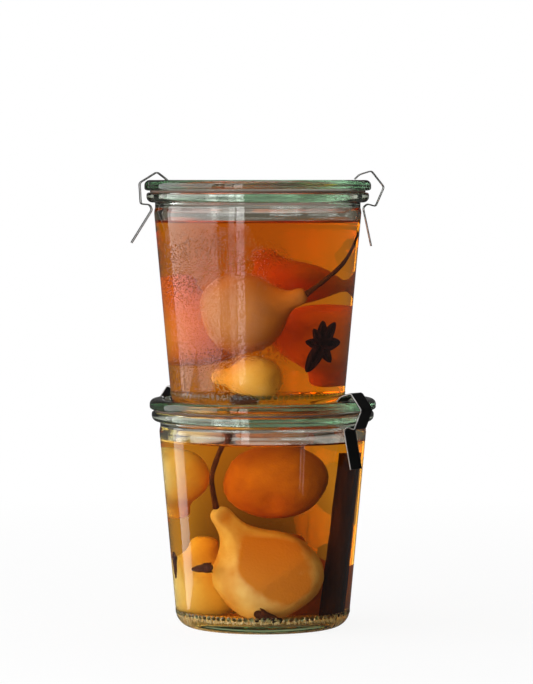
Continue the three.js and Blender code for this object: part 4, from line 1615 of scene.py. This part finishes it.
def studio_world(look):
    """White to the camera, a dimmer set through glass, and a dim room in reflections."""
    world = bpy.data.worlds.new("studio")
    bpy.context.scene.world = world
    world.use_nodes = True
    tree = world.node_tree
    tree.nodes.clear()
    rays = add(tree, "ShaderNodeLightPath").outputs
    place = add(tree, "ShaderNodeTexCoord").outputs["Generated"]
    way = add(tree, "ShaderNodeSeparateXYZ", {"Vector": place}).outputs
    left = spread_over(tree, way["X"], -1.0, 0.0, look.left_set, look.middle_set)
    right = spread_over(tree, way["X"], 0.0, 1.0, 0.0, look.right_set - look.middle_set)
    above = spread_over(tree, way["Z"], *SET_EDGE, 0.0, 1.0)
    high = spread_over(tree, way["Z"], *SET_FADE, 1.0, look.high_set)
    upwards = worked(tree, "MULTIPLY", ranged(tree, above, look.low_set, 1.0), high)
    lights = []
    for colour, strength in (
        (WHITE, look.ambient),
        (WHITE, look.room),
        (
            blended(tree, above, look.table_colour, look.set_colour),
            worked(tree, "MULTIPLY", worked(tree, "ADD", left, right), upwards),
        ),
        (WHITE, 1.0),
    ):
        made = add(tree, "ShaderNodeBackground", {"Color": colour, "Strength": strength})
        lights.append(made.outputs["Background"])
    kinds = (rays["Is Glossy Ray"], rays["Is Transmission Ray"], rays["Is Camera Ray"])
    add(tree, "ShaderNodeOutputWorld", {"Surface": switched(tree, lights[0], *zip(kinds, lights[1:]))})


def floor_material(look):
    """A pale floor: white to the camera but for the jars' shadow, and dimmer through glass."""
    material, tree = new_tree("pale_floor")
    rays = add(tree, "ShaderNodeLightPath").outputs
    place = add(tree, "ShaderNodeTexCoord").outputs["Object"]
    away = add(tree, "ShaderNodeVectorMath", {0: place}, operation="LENGTH").outputs["Value"]
    white_share = spread_over(tree, away, *FLOOR_WHITE, look.floor_glow, 1.0)
    dimmed = spread_over(tree, away, *FLOOR_FADE, look.floor_through, look.middle_set)
    lit = add(tree, "ShaderNodeBsdfDiffuse", {"Color": (0.9, 0.9, 0.9, 1)})
    white = add(tree, "ShaderNodeEmission", {"Color": WHITE, "Strength": 1.0})
    through = add(tree, "ShaderNodeEmission", {"Color": rgba(look.table_colour), "Strength": dimmed})
    clear = add(tree, "ShaderNodeBsdfTransparent")
    shown = switched(
        tree,
        lit.outputs["BSDF"],
        (worked(tree, "MULTIPLY", rays["Is Camera Ray"], white_share), white.outputs["Emission"]),
        (rays["Is Transmission Ray"], through.outputs["Emission"]),
        (rays["Is Glossy Ray"], clear.outputs["BSDF"]),
    )
    add(tree, "ShaderNodeOutputMaterial", {"Surface": shown})
    return material


class Lamp(NamedTuple):
    """An upright panel that spans an angle round the jars, at a side in degrees left of the front."""

    name: str
    side: float
    distance: float
    spread: float
    low: float
    high: float
    glow: str
    mirrored: bool = True


LAMPS = (
    Lamp("left_panel", 100, 1.2, 36, -0.087, 1.1, "side_glow"),
    Lamp("side_panel", 64, 1.2, 36, -0.135, 1.1, "side_glow"),
    Lamp("low_panel", 109, 1.2, 18, -0.25, -0.09, "side_glow"),
    Lamp("side_fill", 40, 1.2, 40, 0.0, 0.6, "fill_glow", mirrored=False),
    Lamp("low_fill", 40, 0.55, 28, 0.0, 0.2, "low_fill_glow", mirrored=False),
    Lamp("bright_strip", 19.5, 1.5, 9, -0.23, 1.1, "strip_glow"),
    Lamp("thin_strip", 29.3, 1.5, 7.5, -0.23, 1.1, "thin_glow"),
    Lamp("left_line", -43.4, 1.5, 1.1, -0.31, -0.225, "thin_glow"),
    Lamp("right_line", -47.2, 1.5, 1.1, -0.31, -0.225, "thin_glow"),
)


def area_light(name, width, height, glow, place):
    """A flat lamp of even brightness, which the camera doesn't see."""
    lamp = bpy.data.lights.new(name, "AREA")
    lamp.shape = "RECTANGLE"
    lamp.size = width
    lamp.size_y = height
    lamp.energy = glow * math.pi * width * height
    made = bpy.data.objects.new(name, lamp)
    made.location = place
    made.visible_camera = False
    bpy.context.scene.collection.objects.link(made)
    return made


def panel_light(lamp, glow):
    angle = math.radians(lamp.side)
    width = 2 * lamp.distance * math.tan(math.radians(lamp.spread) / 2)
    inwards = Vector((math.sin(angle), math.cos(angle), 0))
    place = -lamp.distance * inwards + UP * (lamp.low + lamp.high) / 2
    made = area_light(lamp.name, width, lamp.high - lamp.low, glow, place)
    made.rotation_euler = inwards.to_track_quat("-Z", "Y").to_euler()
    made.visible_glossy = lamp.mirrored


class JARS_OT_stage(Operator):
    """Set the floor, the light and the camera"""

    bl_idname = "jars.stage"
    bl_label = "Stage"

    def execute(self, context):
        look = setting("jar_stage")
        scene = bpy.context.scene
        studio_world(look)
        level = CAD_BOX[0].z - FLOOR_DROP
        corners = [
            Vector((x * FLOOR_HALF, y * FLOOR_HALF, level)) for x, y in ((-1, -1), (1, -1), (1, 1), (-1, 1))
        ]
        skin_object("floor", (corners, [(0, 1, 2, 3)]), floor_material(look))
        for lamp in LAMPS:
            panel_light(lamp, getattr(look, lamp.glow))
        area_light("top_panel", TOP_WIDTH, TOP_WIDTH, look.top_glow, TOP_PLACE)
        for name, most in BOUNCES.items():
            setattr(scene.cycles, name, most)
        data = bpy.data.cameras.new("camera")
        data.lens = look.lens
        data.sensor_width = SENSOR_WIDTH
        data.sensor_fit = "AUTO"
        data.clip_end = CAMERA_REACH
        camera = bpy.data.objects.new("camera", data)
        camera.location = (0, -look.camera_distance, look.camera_height)
        camera.rotation_euler = (math.pi / 2 - look.pitch, 0, -look.yaw)
        scene.collection.objects.link(camera)
        scene.camera = camera
        scene.view_settings.view_transform = "Standard"
        return {"FINISHED"}


STEPS = (
    JARS_OT_jar_glass,
    JARS_OT_lids,
    JARS_OT_clips,
    JARS_OT_pears,
    JARS_OT_stems,
    JARS_OT_cinnamon,
    JARS_OT_cloves,
    JARS_OT_star_anise,
    JARS_OT_grit,
    JARS_OT_syrup,
    JARS_OT_stage,
)


class JARS_PT_panel(Panel):
    bl_label = "Preserving Jars"
    bl_idname = "JARS_PT_panel"
    bl_space_type = "VIEW_3D"
    bl_region_type = "UI"
    bl_category = "Jars"

    def draw(self, context):
        for step in STEPS:
            self.layout.operator(step.bl_idname)
        for name in SETTINGS:
            box = self.layout.box()
            group = getattr(context.scene, name)
            for key in group.__annotations__:
                box.prop(group, key)


def register():
    for name, group in SETTINGS.items():
        bpy.utils.register_class(group)
        setattr(bpy.types.Scene, name, PointerProperty(type=group))
    for step in STEPS:
        bpy.utils.register_class(step)
    bpy.utils.register_class(JARS_PT_panel)


def unregister():
    bpy.utils.unregister_class(JARS_PT_panel)
    for step in reversed(STEPS):
        bpy.utils.unregister_class(step)
    for name, group in SETTINGS.items():
        delattr(bpy.types.Scene, name)
        bpy.utils.unregister_class(group)


def main():
    register()
    for step in STEPS:
        getattr(bpy.ops.jars, step.bl_idname.split(".")[1])()


if __name__ == "__main__":
    main()
